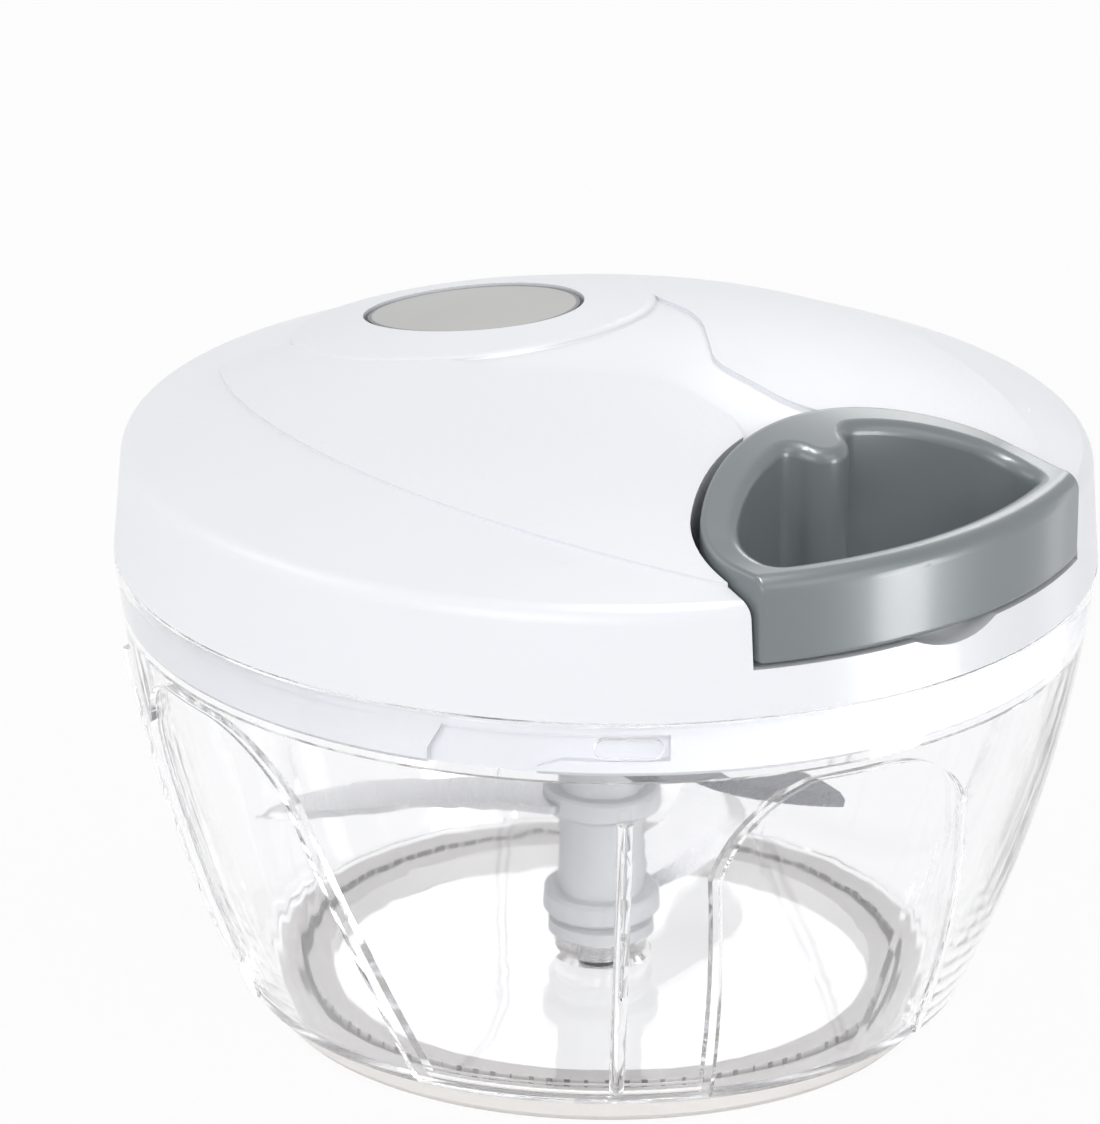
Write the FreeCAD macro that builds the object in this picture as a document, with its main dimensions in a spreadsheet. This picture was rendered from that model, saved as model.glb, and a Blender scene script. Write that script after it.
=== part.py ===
import FreeCAD, Part
import math
import os
import re
import Sketcher

# Pull-string chopper. Millimetres, Z up, origin under the middle of the bowl, +X toward the handle.

# Driving sizes. An entry that starts with = is worked out from the others.
SIZES = {
    # Heights and outer radii
    "rim_r": 62.0,
    "seam_z": 60.8,
    "seam_gap": 0.3,
    "top_z": 88.3,
    "dome_r": 145.0,
    "dome_c": "=top_z - dome_r",
    "shoulder_r": 61.0,
    # Bowl
    "foot_r": 42.3,
    "foot_in": 35.0,
    "floor_low": 3.6,
    "floor_top": 5.2,
    "heel_r": 46.5,
    "heel_z": 5.0,
    "wall": 2.2,
    "wall_bow": 181.0,
    "wall_long": "=sqrt((rim_r - 0.2 - heel_r) * (rim_r - 0.2 - heel_r) + (seam_z - 1.5 - heel_z) * (seam_z - 1.5 - heel_z))",
    "wall_far": "=sqrt(wall_bow * wall_bow - wall_long * wall_long / 4)",
    "wall_c": "=(rim_r - 0.2 + heel_r) / 2 - wall_far * (seam_z - 1.5 - heel_z) / wall_long",
    "wall_cz": "=(seam_z - 1.5 + heel_z) / 2 + wall_far * (rim_r - 0.2 - heel_r) / wall_long",
    "rib_r": 0.95,
    "rib_turn": -41.6,
    "rim_low": 52.6,
    "rim_in": "=rim_r - wall",
    "panel_dent": 0.9,
    "lug_z": 57.1,
    "lug_long": 8.8,
    "lug_tall": 2.6,
    "lug_in": "=rim_in - 1.2",
    # Blades and their spindle
    "pin_r": 2.0,
    "pin_top": 20.0,
    "stem_r": 5.5,
    "collar_r": 7.5,
    "stem_low": 8.3,
    "stem_top": 56.4,
    "dog_top": 62.2,
    "dog_r": 4.9,
    "dog_wide": 3.0,
    "blade_thick": 1.0,
    # Drive under the reel
    "bush_in": 6.65,
    "bush_r": 8.2,
    "tube_r": 6.6,
    "socket_top": 62.6,
    "plate_z": 63.0,
    "plate_top": 65.0,
    "plate_r": 12.6,
    "pawl_at": 8.2,
    "pawl_pin": 1.3,
    "axle_r": 3.0,
    "run_fit": 0.05,
    # Reel
    "reel_low": 65.2,
    "reel_top": 78.3,
    "flange_r": 22.5,
    "flange_thick": 1.2,
    "cord_r": 0.85,
    "cord_pitch": 2.2,
    "wind_r": 18.0,
    "drum_r": "=wind_r - cord_r",
    "wind_low": "=reel_low + flange_thick + cord_r + 0.1",
    "tooth_tip": 13.5,
    "tooth_root": 15.2,
    "web_low": 69.6,
    "web_top": 71.1,
    "spring_in": 4.8,
    "spring_out": 15.25,
    "spring_thick": 0.45,
    "spring_tall": 5.0,
    # Housing over the reel
    "house_in": 24.2,
    "house_r": 26.0,
    "house_top": 81.0,
    "house_ear": 30.0,
    # Lid
    "plate_floor": 57.6,
    "floor_thick": 2.0,
    "skirt_r": 59.25,
    "skirt_in": 56.65,
    "skirt_low": 53.4,
    "slot_r": 57.75,
    "slot_low": 55.4,
    "slot_top": 58.8,
    "cover_wall": 2.0,
    "wing_rise": 0.45,
    "boss_rise": 0.7,
    "boss_x": -25.0,
    "boss_r": 23.7,
    "badge_x": -24.7,
    "badge_long": 14.6,
    "badge_wide": 12.6,
    "badge_gap": 0.6,
    "screw_ring": 50.0,
    "screw_r": 1.5,
    "screw_head": 2.8,
    # Handle and its recess
    "ledge_z": 67.0,
    "ledge_thick": 3.0,
    "lining": 1.6,
    "handle_z": 67.6,
    "handle_back": 31.5,
    "arch_bow": 35.8,
    "arch_c": "=handle_back + arch_bow",
    "hip_bow": 12.4,
    "ear_y": 27.7,
    "rim_wide": 4.7,
    "rim_round": 1.8,
    "handle_r": 61.8,
    "recess_gap": 1.2,
    "bow_z": 75.6,
    "loop_front": 57.3,
    "column_x": 36.7,
    "column_r": 4.0,
    "blend_r": 2.5,
    "column_far": "=arch_c - column_x",
    "blend_far": "=arch_bow - rim_wide - blend_r",
    "blend_near": "=column_r + blend_r",
    "blend_c": "=(column_far * column_far + blend_near * blend_near - blend_far * blend_far)"
               " / (2 * column_far * blend_near)",
    "blend_x": "=column_x + blend_near * blend_c",
    "blend_y": "=blend_near * sqrt(1 - blend_c * blend_c)",
    "bore_r": 2.4,
    # Where the cord bends at the eyelet, and its straight way from the drum to there
    "eye_x": 29.5,
    "bend_r": 3.0,
    "way_d": "=sqrt(eye_x * eye_x + bend_r * bend_r)",
    "way_s": "=(wind_r + bend_r) / way_d",
    "way_c": "=sqrt(1 - way_s * way_s)",
    "head_x": "=(eye_x * way_c + bend_r * way_s) / way_d",
    "head_y": "=(bend_r * way_c - eye_x * way_s) / way_d",
    "free_run": 9.6,
}

V = FreeCAD.Vector
doc = FreeCAD.newDocument("Chopper")
sheet = doc.addObject("Spreadsheet::Sheet", "Sizes")
for line, (alias, entry) in enumerate(SIZES.items(), 1):
    sheet.set("A%d" % line, alias)
    sheet.set("B%d" % line, str(entry))
    sheet.setAlias("B%d" % line, alias)
doc.recompute()


def bound(text):
    """The expression with the sheet's name before each alias."""
    return re.sub(r"[a-z]\w*", lambda word: ("Sizes." if word.group() in SIZES else "") + word.group(), text)


def value(text):
    return float(sheet.evalExpression(bound(text)))


def bind(item, prop, text):
    item.setExpression(prop, bound(text))


# Sketches
def fix(sketch, kind, refs, text):
    number = sketch.addConstraint(Sketcher.Constraint(kind, *refs, value(text)))
    sketch.setExpression("Constraints[%d]" % number, bound(text))


def place(sketch, side, end, x, y):
    for text, kind, axis in ((x, "DistanceX", -2), (y, "DistanceY", -1)):
        if text == "0":
            sketch.addConstraint(Sketcher.Constraint("PointOnObject", side, end, axis))
        else:
            fix(sketch, kind, (-1, 1, side, end), text)


def path(sketch, corners, closed=True):
    """A line through the corners (x, y). In (x, y, radius, turn) the side that arrives is an arc, turn 1 bends left."""
    points = [V(value(corner[0]), value(corner[1]), 0) for corner in corners]
    sides = []
    for i in range(0 if closed else 1, len(corners)):
        here, there = points[i - 1], points[i]
        if len(corners[i]) == 2:
            side = sketch.addGeometry(Part.LineSegment(here, there), False)
            sides.append((side, 1, 2))
        else:
            radius, turn = value(corners[i][2]), corners[i][3]
            chord = there - here
            left = V(-chord.y, chord.x, 0).normalize()
            centre = (here + there) * 0.5 + left * turn * math.sqrt(radius ** 2 - (chord.Length / 2) ** 2)
            first, last = (here, there) if turn > 0 else (there, here)
            angles = [math.atan2(p.y - centre.y, p.x - centre.x) for p in (first, last)]
            side = sketch.addGeometry(Part.ArcOfCircle(Part.Circle(centre, V(0, 0, 1), radius), *angles), False)
            sides.append((side, 1, 2) if turn > 0 else (side, 2, 1))
            fix(sketch, "Radius", (side,), corners[i][2])
        place(sketch, side, sides[-1][2], *corners[i][:2])
        if len(sides) > 1:
            sketch.addConstraint(Sketcher.Constraint("Coincident", sides[-2][0], sides[-2][2], side, sides[-1][1]))
    if closed:
        sketch.addConstraint(Sketcher.Constraint("Coincident", sides[-1][0], sides[-1][2], sides[0][0], sides[0][1]))
    else:
        place(sketch, sides[0][0], sides[0][1], *corners[0][:2])


def origin(body, role):
    return [item for item in body.Origin.OriginFeatures if item.Role == role][0]


def drawing(body, name, role, turn=0.0, rise="0"):
    """A sketch on one of the body's own planes, turned about Z or set off along the plane's normal."""
    sketch = body.newObject("Sketcher::SketchObject", name)
    sketch.AttachmentSupport = [(origin(body, role), "")]
    sketch.MapMode = "FlatFace"
    offset = FreeCAD.Placement(V(0, 0, value(rise)), FreeCAD.Rotation())
    sketch.AttachmentOffset = FreeCAD.Placement(V(0, 0, 0), FreeCAD.Rotation(V(0, 1, 0), turn)) * offset
    if turn == 0 and rise != "0":
        bind(sketch, "AttachmentOffset.Base.z", rise)
    return sketch


def repeated(body, form, count):
    if count > 1:
        ring = body.newObject("PartDesign::PolarPattern", body.Name + "_ring")
        ring.Originals = [form]
        ring.Axis = (origin(body, "Z_Axis"), [""])
        ring.Angle = 360
        ring.Occurrences = count
        body.Tip = ring
    return body


# Forms
def turned(name, corners, sector=360.0, turn=0.0, count=1):
    """A profile (radius, height) turned about Z; a sector is centred on the azimuth turn."""
    body = doc.addObject("PartDesign::Body", name)
    sketch = drawing(body, name + "_profile", "XZ_Plane", turn)
    path(sketch, corners)
    form = body.newObject("PartDesign::Revolution", name + "_form")
    form.Profile = sketch
    form.ReferenceAxis = (sketch, ["V_Axis"])
    form.Angle = sector
    form.Midplane = sector < 360
    return repeated(body, form, count)


def raised(name, corners, low, high, count=1):
    """A plan outline raised from one height to another."""
    body = doc.addObject("PartDesign::Body", name)
    sketch = drawing(body, name + "_plan", "XY_Plane", 0, low)
    path(sketch, corners)
    form = body.newObject("PartDesign::Pad", name + "_form")
    form.Profile = sketch
    bind(form, "Length", "(%s) - (%s)" % (high, low))
    return repeated(body, form, count)


def outward(name, corners, turn, start, end, count=1):
    """A front outline (across, height) carried outward at an azimuth."""
    body = doc.addObject("PartDesign::Body", name)
    sketch = drawing(body, name + "_front", "YZ_Plane", turn, start)
    path(sketch, corners)
    form = body.newObject("PartDesign::Pad", name + "_form")
    form.Profile = sketch
    bind(form, "Length", "(%s) - (%s)" % (end, start))
    return repeated(body, form, count)


def rounded_uprights(body, radius):
    """Rounds the upright edges of a raised outline."""
    doc.recompute()
    form = body.Tip
    edges = []
    for number, edge in enumerate(form.Shape.Edges, 1):
        box = edge.BoundBox
        if box.ZLength > 1 and box.XLength + box.YLength < 1e-6:
            edges.append("Edge%d" % number)
    fillet = body.newObject("PartDesign::Fillet", body.Name + "_corners")
    fillet.Base = (form, edges)
    bind(fillet, "Radius", radius)
    return body


def post(name, radius, low, high, x="0", y="0"):
    item = doc.addObject("Part::Cylinder", name)
    bind(item, "Radius", radius)
    bind(item, "Height", "(%s) - (%s)" % (high, low))
    for axis, text in (("x", x), ("y", y), ("z", low)):
        bind(item, "Placement.Base." + axis, text)
    return item


def rod(name, radius, start, end, height):
    """A round rod along X."""
    item = doc.addObject("Part::Cylinder", name)
    item.Placement.Rotation = FreeCAD.Rotation(V(0, 1, 0), 90)
    bind(item, "Radius", radius)
    bind(item, "Height", "(%s) - (%s)" % (end, start))
    bind(item, "Placement.Base.x", start)
    bind(item, "Placement.Base.z", height)
    return item


def oval(name, along, across, low, high, x):
    ring = doc.addObject("Part::Ellipse", name + "_ring")
    bind(ring, "MajorRadius", along)
    bind(ring, "MinorRadius", across)
    bind(ring, "Placement.Base.x", x)
    bind(ring, "Placement.Base.z", low)
    item = doc.addObject("Part::Extrusion", name)
    item.Base = ring
    item.DirMode = "Custom"
    item.Dir = V(0, 0, 1)
    bind(item, "LengthFwd", "(%s) - (%s)" % (high, low))
    item.Solid = True
    return item


def around(reach, angle):
    return "%s * cos(%s)" % (reach, angle), "%s * sin(%s)" % (reach, angle)


# Combining
def join(name, *parts):
    item = doc.addObject("Part::MultiFuse", name)
    item.Shapes = list(parts)
    return item


def common(name, *parts):
    item = doc.addObject("Part::MultiCommon", name)
    item.Shapes = list(parts)
    return item


def cut(name, base, *tools):
    item = doc.addObject("Part::Cut", name)
    item.Base = base
    item.Tool = tools[0] if len(tools) == 1 else join(name + "_tools", *tools)
    return item


def softened(name, base, radius, wanted):
    """Rounds the edges whose middle point and box are wanted."""
    doc.recompute()
    edges = []
    for number, edge in enumerate(base.Shape.Edges, 1):
        middle = edge.valueAt((edge.FirstParameter + edge.LastParameter) / 2)
        if wanted(middle, edge.BoundBox):
            edges.append((number, value(radius), value(radius)))
    item = doc.addObject("Part::Fillet", name)
    item.Base = base
    item.Edges = edges
    return item


# Soft ring under the bowl
foot_ring = turned("foot_ring", [
    ("foot_in", "0.6"), ("foot_in + 0.6", "0"), ("foot_r - 0.9", "0"), ("foot_r", "0.9"),
    ("foot_r", "floor_low"), ("39.2", "floor_low"), ("39.2", "1.4"), ("37.8", "1.4"), ("37.8", "floor_low"),
    ("foot_in", "floor_low"),
])

# Pin on which the blades turn
pivot_pin = turned("pivot_pin", [
    ("0", "floor_low + 0.9"), ("pin_r", "floor_low + 0.9"), ("pin_r", "pin_top - 0.8"),
    ("pin_r - 0.8", "pin_top"), ("0", "pin_top"),
])

# Bowl: shell, swept panels pressed inward, narrow ribs, lugs under the rim
bowl_shell = turned("bowl_shell", [
    ("0", "floor_low"), ("heel_r - 2.6", "floor_low"), ("heel_r", "heel_z", "2.9", 1),
    ("rim_r - 0.2", "seam_z - 1.5", "wall_bow", 1), ("rim_r", "seam_z - 1.3"), ("rim_r", "seam_z - 0.2"),
    ("rim_r - 0.2", "seam_z"), ("rim_in", "seam_z"), ("rim_in", "rim_low"), ("rim_in - 0.9", "rim_low"),
    ("heel_r - wall + 0.3", "heel_z + 2.4", "wall_bow - wall", -1),
    ("heel_r - wall - 1.9", "floor_top", "2.4", -1), ("0", "floor_top"),
])
panel_corners = [
    ("-12.5", "1.0"), ("20.5", "1.0"), ("15.0", "43.0", "150", 1), ("1.0", "51.2", "15.5", 1), ("-9.0", "51.2"),
    ("-19.5", "38.0", "14.5", 1),
]
panels = outward("bowl_panels", panel_corners, -10, "25", "75", 4)
inner_skin = turned("inner_skin", [
    ("heel_r - wall - 1.8", "4.6"), ("heel_r - 2.1", "4.6"), ("heel_r - 1.3", "6.4"),
    ("rim_in", "52.0", "wall_bow", 1), ("rim_in - 0.95 - panel_dent", "52.0"),
    ("heel_r - wall - panel_dent - 0.1", "6.4", "wall_bow", -1),
])
outer_skin = turned("outer_skin", [
    ("heel_r - 1.25 - panel_dent", "2.2"), ("rim_r + 5", "2.2"), ("rim_r + 5", "seam_z - 1.5"),
    ("rim_r - 0.2 - panel_dent", "seam_z - 1.5"), ("heel_r - panel_dent", "heel_z", "wall_bow", -1),
])
panels_inside = common("panels_inside", panels, inner_skin)
panels_outside = common("panels_outside", panels, outer_skin)


def rib(name, turn):
    """A half-round rib that follows the wall's bow, with a round lower end."""
    bar = doc.addObject("Part::Torus", name + "_bar")
    low, high = (math.degrees(math.asin((z - value("wall_cz")) / value("wall_bow"))) for z in (7.0, 47.3))
    bind(bar, "Radius1", "wall_bow")
    bind(bar, "Radius2", "rib_r")
    bar.Angle3 = high - low
    facing = FreeCAD.Rotation(V(0, 0, 1), turn)
    upright = FreeCAD.Rotation(V(0, 1, 0), -low) * FreeCAD.Rotation(V(1, 0, 0), 90)
    bar.Placement = FreeCAD.Placement(facing.multVec(V(value("wall_c"), 0, value("wall_cz"))), facing * upright)
    end = doc.addObject("Part::Sphere", name + "_end")
    bind(end, "Radius", "rib_r")
    reach = value("wall_c") + value("wall_bow") * math.cos(math.radians(low))
    end.Placement = FreeCAD.Placement(facing.multVec(V(reach, 0, 7.0)), facing * upright)
    return join(name, bar, end)


ribs = [rib("bowl_rib_%d" % k, value("rib_turn") + 90 * k) for k in range(4)]
lug_forms = outward("lug_forms", [
    ("lug_long / 2 - lug_tall / 2", "lug_z - lug_tall / 2"),
    ("lug_long / 2 - lug_tall / 2", "lug_z + lug_tall / 2", "lug_tall / 2 + 0.02", 1),
    ("-lug_long / 2 + lug_tall / 2", "lug_z + lug_tall / 2"),
    ("-lug_long / 2 + lug_tall / 2", "lug_z - lug_tall / 2", "lug_tall / 2 + 0.02", 1),
], -41.3, "50", "70", 4)
lug_band = turned("lug_band", [
    ("lug_in", "rim_low"), ("rim_in + 0.8", "rim_low"), ("rim_in + 0.8", "seam_z"), ("lug_in", "seam_z"),
])
lugs = common("lugs", lug_forms, lug_band)
pin_boss = turned("pin_boss", [
    ("0", "floor_top - 1"), ("pin_r + 4.6", "floor_top - 1"), ("pin_r + 4.6", "floor_top"),
    ("pin_r + 4", "floor_top + 0.6"), ("pin_r + 4", "stem_low - 0.4"), ("0", "stem_low - 0.4"),
])
foot_rib = turned("foot_rib", [
    ("37.8", "1.4"), ("39.2", "1.4"), ("39.2", "floor_low + 1"), ("37.8", "floor_low + 1"),
])
bowl_full = join("bowl_full", bowl_shell, panels_inside, *ribs, lugs, pin_boss, foot_rib)
bowl = cut("bowl", bowl_full, panels_outside, pivot_pin)


# Blades: curved plates with a bevelled leading edge, set a third of a turn apart
def blade(name, low, reach, turn):
    lead = [(reach + " * 0.68", "-6.3", "70", 1), (reach, "4.6", "24", 1)]
    plate = raised(name + "_plate", [("3.2", "-3.2"), ("7.0", "-5.4")] + lead + [
        (reach + " - 0.9", "5.5"), ("25.0", "2.6", "36", 1), ("7.0", "5.4", "60", -1), ("3.2", "3.2"),
    ], low, low + " + blade_thick")
    bevel = raised(name + "_bevel", [("6.9", "-12.0"), ("7.0", "-5.4")] + lead + [
        (reach + " + 1.0", "12.0"), (reach, "24.0"), ("-16.0", "24.0"), ("-16.0", "-12.0"),
    ], low, low + " + blade_thick")
    bevel.Tip.TaperAngle = -65
    item = common(name, plate, bevel)
    item.Placement = FreeCAD.Placement(V(0, 0, 0), FreeCAD.Rotation(V(0, 0, 1), turn))
    return item


blade_lower = blade("blade_lower", "12.0", "43.5", 110)
blade_middle = blade("blade_middle", "26.0", "44.5", 230)
blade_upper = blade("blade_upper", "40.0", "45.5", 350)

# Spindle: bored column, a collar at each blade, a two-lobed dog on top
stem = turned("stem", [
    ("pin_r + run_fit", "stem_low"), ("collar_r - 0.7", "stem_low"), ("collar_r - 0.7", "stem_low + 1.6"),
    ("stem_r", "stem_low + 2.2"), ("stem_r", "stem_top - 1.4"), ("collar_r - 0.7", "stem_top - 1.0"),
    ("collar_r - 0.7", "stem_top"), ("2.4", "stem_top"), ("2.4", "dog_top"), ("0", "dog_top"),
    ("0", "pin_top + 0.4"), ("pin_r + run_fit", "pin_top + 0.4"),
])
collars = []
for number, low in enumerate(("11.0", "25.0", "39.0")):
    collars.append(turned("collar_%d" % number, [
        ("stem_r - 0.5", low), ("collar_r - 0.4", low), ("collar_r", low + " + 0.4"),
        ("collar_r", low + " + 2.6"), ("collar_r - 0.4", low + " + 3.0"), ("stem_r - 0.5", low + " + 3.0"),
    ]))
dog_bar = raised("dog_bar", [
    ("-dog_r - 1", "-dog_wide / 2"), ("dog_r + 1", "-dog_wide / 2"), ("dog_r + 1", "dog_wide / 2"),
    ("-dog_r - 1", "dog_wide / 2"),
], "stem_top - 0.5", "dog_top")
dog = common("dog", dog_bar, post("dog_round", "dog_r", "stem_top - 0.5", "dog_top"))
blade_spindle = cut("blade_spindle", join("spindle_full", stem, dog, *collars),
                    blade_lower, blade_middle, blade_upper)

# Loose bush between the drive shaft and the base plate
shaft_bush = turned("shaft_bush", [
    ("bush_in", "56.8"), ("bush_r", "56.8"), ("bush_r", "59.9"), ("bush_r + 2.2", "59.9"),
    ("bush_r + 2.2", "61.3"), ("bush_r", "61.3"), ("bush_r", "62.6"), ("bush_in", "62.6"),
])

# Drive shaft: socket for the dog, plate with the two pawl pins, hub under the reel
shaft_form = turned("shaft_form", [
    ("0", "57.0"), ("tube_r", "57.0"), ("tube_r", "plate_z"), ("plate_r", "plate_z"), ("plate_r", "plate_top"),
    ("5.0", "plate_top"), ("5.0", "web_low - 0.4"), ("0", "web_low - 0.4"),
])
socket_bars = []
for number, turn in enumerate((3, -5, -14, -23)):
    bar = raised("socket_bar_%d" % number, [
        ("-7", "-dog_wide / 2"), ("7", "-dog_wide / 2"), ("7", "dog_wide / 2"), ("-7", "dog_wide / 2"),
    ], "56.0", "socket_top")
    bar.Placement = FreeCAD.Placement(V(0, 0, 0), FreeCAD.Rotation(V(0, 0, 1), turn))
    socket_bars.append(bar)
socket_hole = common("socket_hole", join("socket_fan", *socket_bars),
                     post("socket_round", "dog_r + 0.3", "56.0", "socket_top"))
pawl_posts = [post("pawl_post_%d" % turn, "pawl_pin", "plate_top - 0.5", "69.0", *around("pawl_at", turn))
              for turn in (0, 180)]
drive_shaft = cut("drive_shaft", join("shaft_full", shaft_form, *pawl_posts), socket_hole,
                  post("dog_core_hole", "2.7", "56.0", "socket_top"),
                  post("axle_hole", "axle_r + run_fit", "socket_top - 0.1", "70.0"))


# Pawls: an eye on the pin and an arm whose square end stands in the ring of teeth
def pawl(name, turn):
    arm = raised(name + "_arm", [
        ("pawl_at - 1.2", "2.2"), ("pawl_at + 2.3", "-1.2"), ("pawl_at + 4.9", "4.4"),
        ("12.95", "6.6"), ("11.3", "5.9"), ("9.8", "4.4"),
    ], "65.5", "68.8")
    eye = post(name + "_eye", "2.6", "65.5", "68.8", "pawl_at")
    bore = post(name + "_bore", "pawl_pin + run_fit", "65.0", "69.5", "pawl_at")
    item = cut(name, join(name + "_full", arm, eye), bore)
    item.Placement = FreeCAD.Placement(V(0, 0, 0), FreeCAD.Rotation(V(0, 0, 1), turn))
    return item


pawl_left = pawl("pawl_left", 0)
pawl_right = pawl("pawl_right", 180)

# Reel: drum with flanges, saw-tooth ring below the web, spring chamber above it
reel_form = turned("reel_form", [
    ("axle_r + run_fit", "web_low"), ("tooth_tip", "web_low"), ("tooth_tip", "reel_low"),
    ("flange_r", "reel_low"), ("flange_r", "reel_low + flange_thick"), ("drum_r", "reel_low + flange_thick"),
    ("drum_r", "reel_top - flange_thick"), ("flange_r", "reel_top - flange_thick"), ("flange_r", "reel_top"),
    ("16.3", "reel_top"), ("16.3", "reel_top - 1"), ("15.5", "reel_top - 1"), ("15.5", "web_top"),
    ("axle_r + run_fit", "web_top"),
])

# Each tooth's steep wall leans as the pawl's tip swings, so that the pawl clears it
tooth_count = 14
tooth_turn = 360.0 / tooth_count
wall_turn = 28.5
teeth = raised("tooth_spaces", [
    around("(tooth_tip - 0.6)", wall_turn - tooth_turn), around("tooth_tip", wall_turn - tooth_turn),
    around("tooth_root", wall_turn), around("(tooth_tip - 0.6)", wall_turn + 9.2),
], "reel_low - 1", "web_low", tooth_count)
cord_reel = cut("cord_reel", reel_form, teeth)

# Disc over the spring
spring_cover = turned("spring_cover", [
    ("4.6", "reel_top - 1"), ("16.3", "reel_top - 1"), ("16.3", "reel_top"), ("4.6", "reel_top"),
])

# Flat spring, a strip laid in half turns that grow by half the pitch
half_turns = 14
grow = (value("spring_out") - value("spring_in")) / half_turns
half_strip = value("spring_thick") / 2
outer_side, inner_side = [], []
for i in range(half_turns):
    radius = value("spring_in") + grow * (i + 0.5)
    centre = V(grow / 2 if i % 2 else -grow / 2, 0, 0)
    way = -1 if i % 2 else 1
    for edges, r in ((outer_side, radius + half_strip), (inner_side, radius - half_strip)):
        ends = [centre + V(way * r, 0, 0), centre + V(0, way * r, 0), centre - V(way * r, 0, 0)]
        edges.append(Part.Arc(*ends).toShape())
caps = [Part.makeLine(outer_side[k].Vertexes[k].Point, inner_side[k].Vertexes[k].Point) for k in (0, -1)]
strip = Part.Face(Part.Wire(Part.__sortEdges__(outer_side + inner_side + caps)))
power_spring = doc.addObject("Part::Feature", "power_spring")
power_spring.Shape = strip.extrude(V(0, 0, value("spring_tall")))
power_spring.Placement = FreeCAD.Placement(V(0, 0, value("web_top") + 0.6), FreeCAD.Rotation())

# Cord turns on the drum: one tube along a helix of quarter-turn arcs, straight for one diameter at both ends
cord_r, wind_r, pitch = value("cord_r"), value("wind_r"), value("cord_pitch")
head = V(value("head_x"), value("head_y"), 0)
leave = math.atan2(head.x, -head.y)
turns = 4


def on_helix(turn):
    angle = leave - 2 * math.pi * turn
    return V(wind_r * math.cos(angle), wind_r * math.sin(angle), value("wind_low") + pitch * (turn + turns))


def along_helix(turn):
    angle = leave - 2 * math.pi * turn
    way = V(math.sin(angle), -math.cos(angle), pitch / (2 * math.pi * wind_r))
    return way.normalize()


def arc_from(start, corner, end):
    """The arc that leaves start toward corner and reaches end."""
    middle = (start + end) * 0.5
    half = (end - start).Length / 2
    rise = corner - middle
    bend = math.atan2(rise.Length, half)
    return Part.Arc(start, middle + rise.normalize() * half * math.tan(bend / 2), end).toShape()


helix_edges = []
for half_turn in range(2 * turns):
    first, last = (-turns + (half_turn + k) / 2.0 for k in (0, 1))
    p, q, tp, tq = on_helix(first), on_helix(last), along_helix(first), along_helix(last)
    gap, both = q - p, tp + tq
    a, b, c = both.dot(both) - 4, 2 * gap.dot(both), gap.dot(gap)
    reach = (-b - math.sqrt(b * b - 4 * a * c)) / (2 * a)
    near, far = p + tp * reach, q - tq * reach
    joint = (near + far) * 0.5
    helix_edges += [arc_from(p, near, joint), arc_from(joint, far, q)]
tail, tip = on_helix(-turns), on_helix(0)
helix_edges.insert(0, Part.makeLine(tail - along_helix(-turns) * 2 * cord_r, tail))
helix_edges.append(Part.makeLine(tip, tip + along_helix(0) * 2 * cord_r))
spine = Part.Wire(helix_edges)
ring = Part.Wire(Part.Circle(tail - along_helix(-turns) * 2 * cord_r, along_helix(-turns), cord_r).toShape())
cord_winding = doc.addObject("Part::Feature", "cord_winding")
cord_winding.Shape = spine.makePipeShell([ring], True, False)
points = spine.discretize(Distance=0.6)
least = min((points[i] - points[k]).Length for i in range(len(points)) for k in range(i + 60, len(points)))
print("cord winding: least gap to itself %.2f mm, length %.0f mm" % (least - 2 * cord_r, spine.Length))

# Post that carries the reel and the spring's inner end
arbor_form = turned("arbor_form", [
    ("0", "socket_top + 0.6"), ("axle_r", "socket_top + 0.6"), ("axle_r", "web_top + 0.4"), ("4.0", "web_top + 0.4"),
    ("4.0", "reel_top + 0.4"), ("7.0", "reel_top + 0.4"), ("7.0", "house_top - 1.7"), ("0", "house_top - 1.7"),
])
arbor_flats = raised("arbor_flats", [
    ("-5", "-2.4"), ("5", "-2.4"), ("5", "2.4"), ("-5", "2.4"),
], "house_top - 2", "house_top")
arbor_boss = common("arbor_boss", arbor_flats, post("arbor_round", "3.4", "house_top - 2", "house_top"))
arbor_screw = turned("arbor_screw", [
    ("0", "house_top - 8.5"), ("1.25", "house_top - 8.5"), ("1.25", "house_top + 0.9"), ("3.0", "house_top + 0.9"),
    ("3.0", "house_top + 2.0"), ("2.2", "house_top + 2.6"), ("1.3", "house_top + 2.8"),
    ("1.3", "house_top + 1.6"), ("0", "house_top + 1.6"),
])
reel_arbor = cut("reel_arbor", join("arbor_full", arbor_form, arbor_boss),
                 post("arbor_thread", "1.25", "house_top - 8.5", "house_top + 1"))
arbor_washer = turned("arbor_washer", [
    ("1.35", "house_top"), ("5.2", "house_top"), ("5.2", "house_top + 0.9"), ("1.35", "house_top + 0.9"),
])

# Housing over the reel, with a window for the cord and three ears
house_form = turned("house_form", [
    ("house_in", "plate_floor + floor_thick"), ("house_r", "plate_floor + floor_thick"), ("house_r", "house_top - 1.2"),
    ("house_r - 1.2", "house_top"), ("0", "house_top"), ("0", "house_top - 1.7"),
    ("house_in", "house_top - 1.7"),
])
ear_turns = (60, 180, 300)
ears = raised("house_ears", [
    ("house_in + 0.7", "-3.6"), ("house_ear", "-3.6"), ("house_ear", "3.6", "3.7", 1), ("house_in + 0.7", "3.6"),
], "plate_floor + floor_thick", "plate_floor + floor_thick + 1.8", 3)
ears.Placement = FreeCAD.Placement(V(0, 0, 0), FreeCAD.Rotation(V(0, 0, 1), ear_turns[0]))
window = outward("cord_window", [
    ("-2.0", "bow_z - 2.2"), ("8.0", "bow_z - 2.2"), ("8.0", "bow_z + 2.2"), ("-2.0", "bow_z + 2.2"),
], 0, "20", "27.0")


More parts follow.
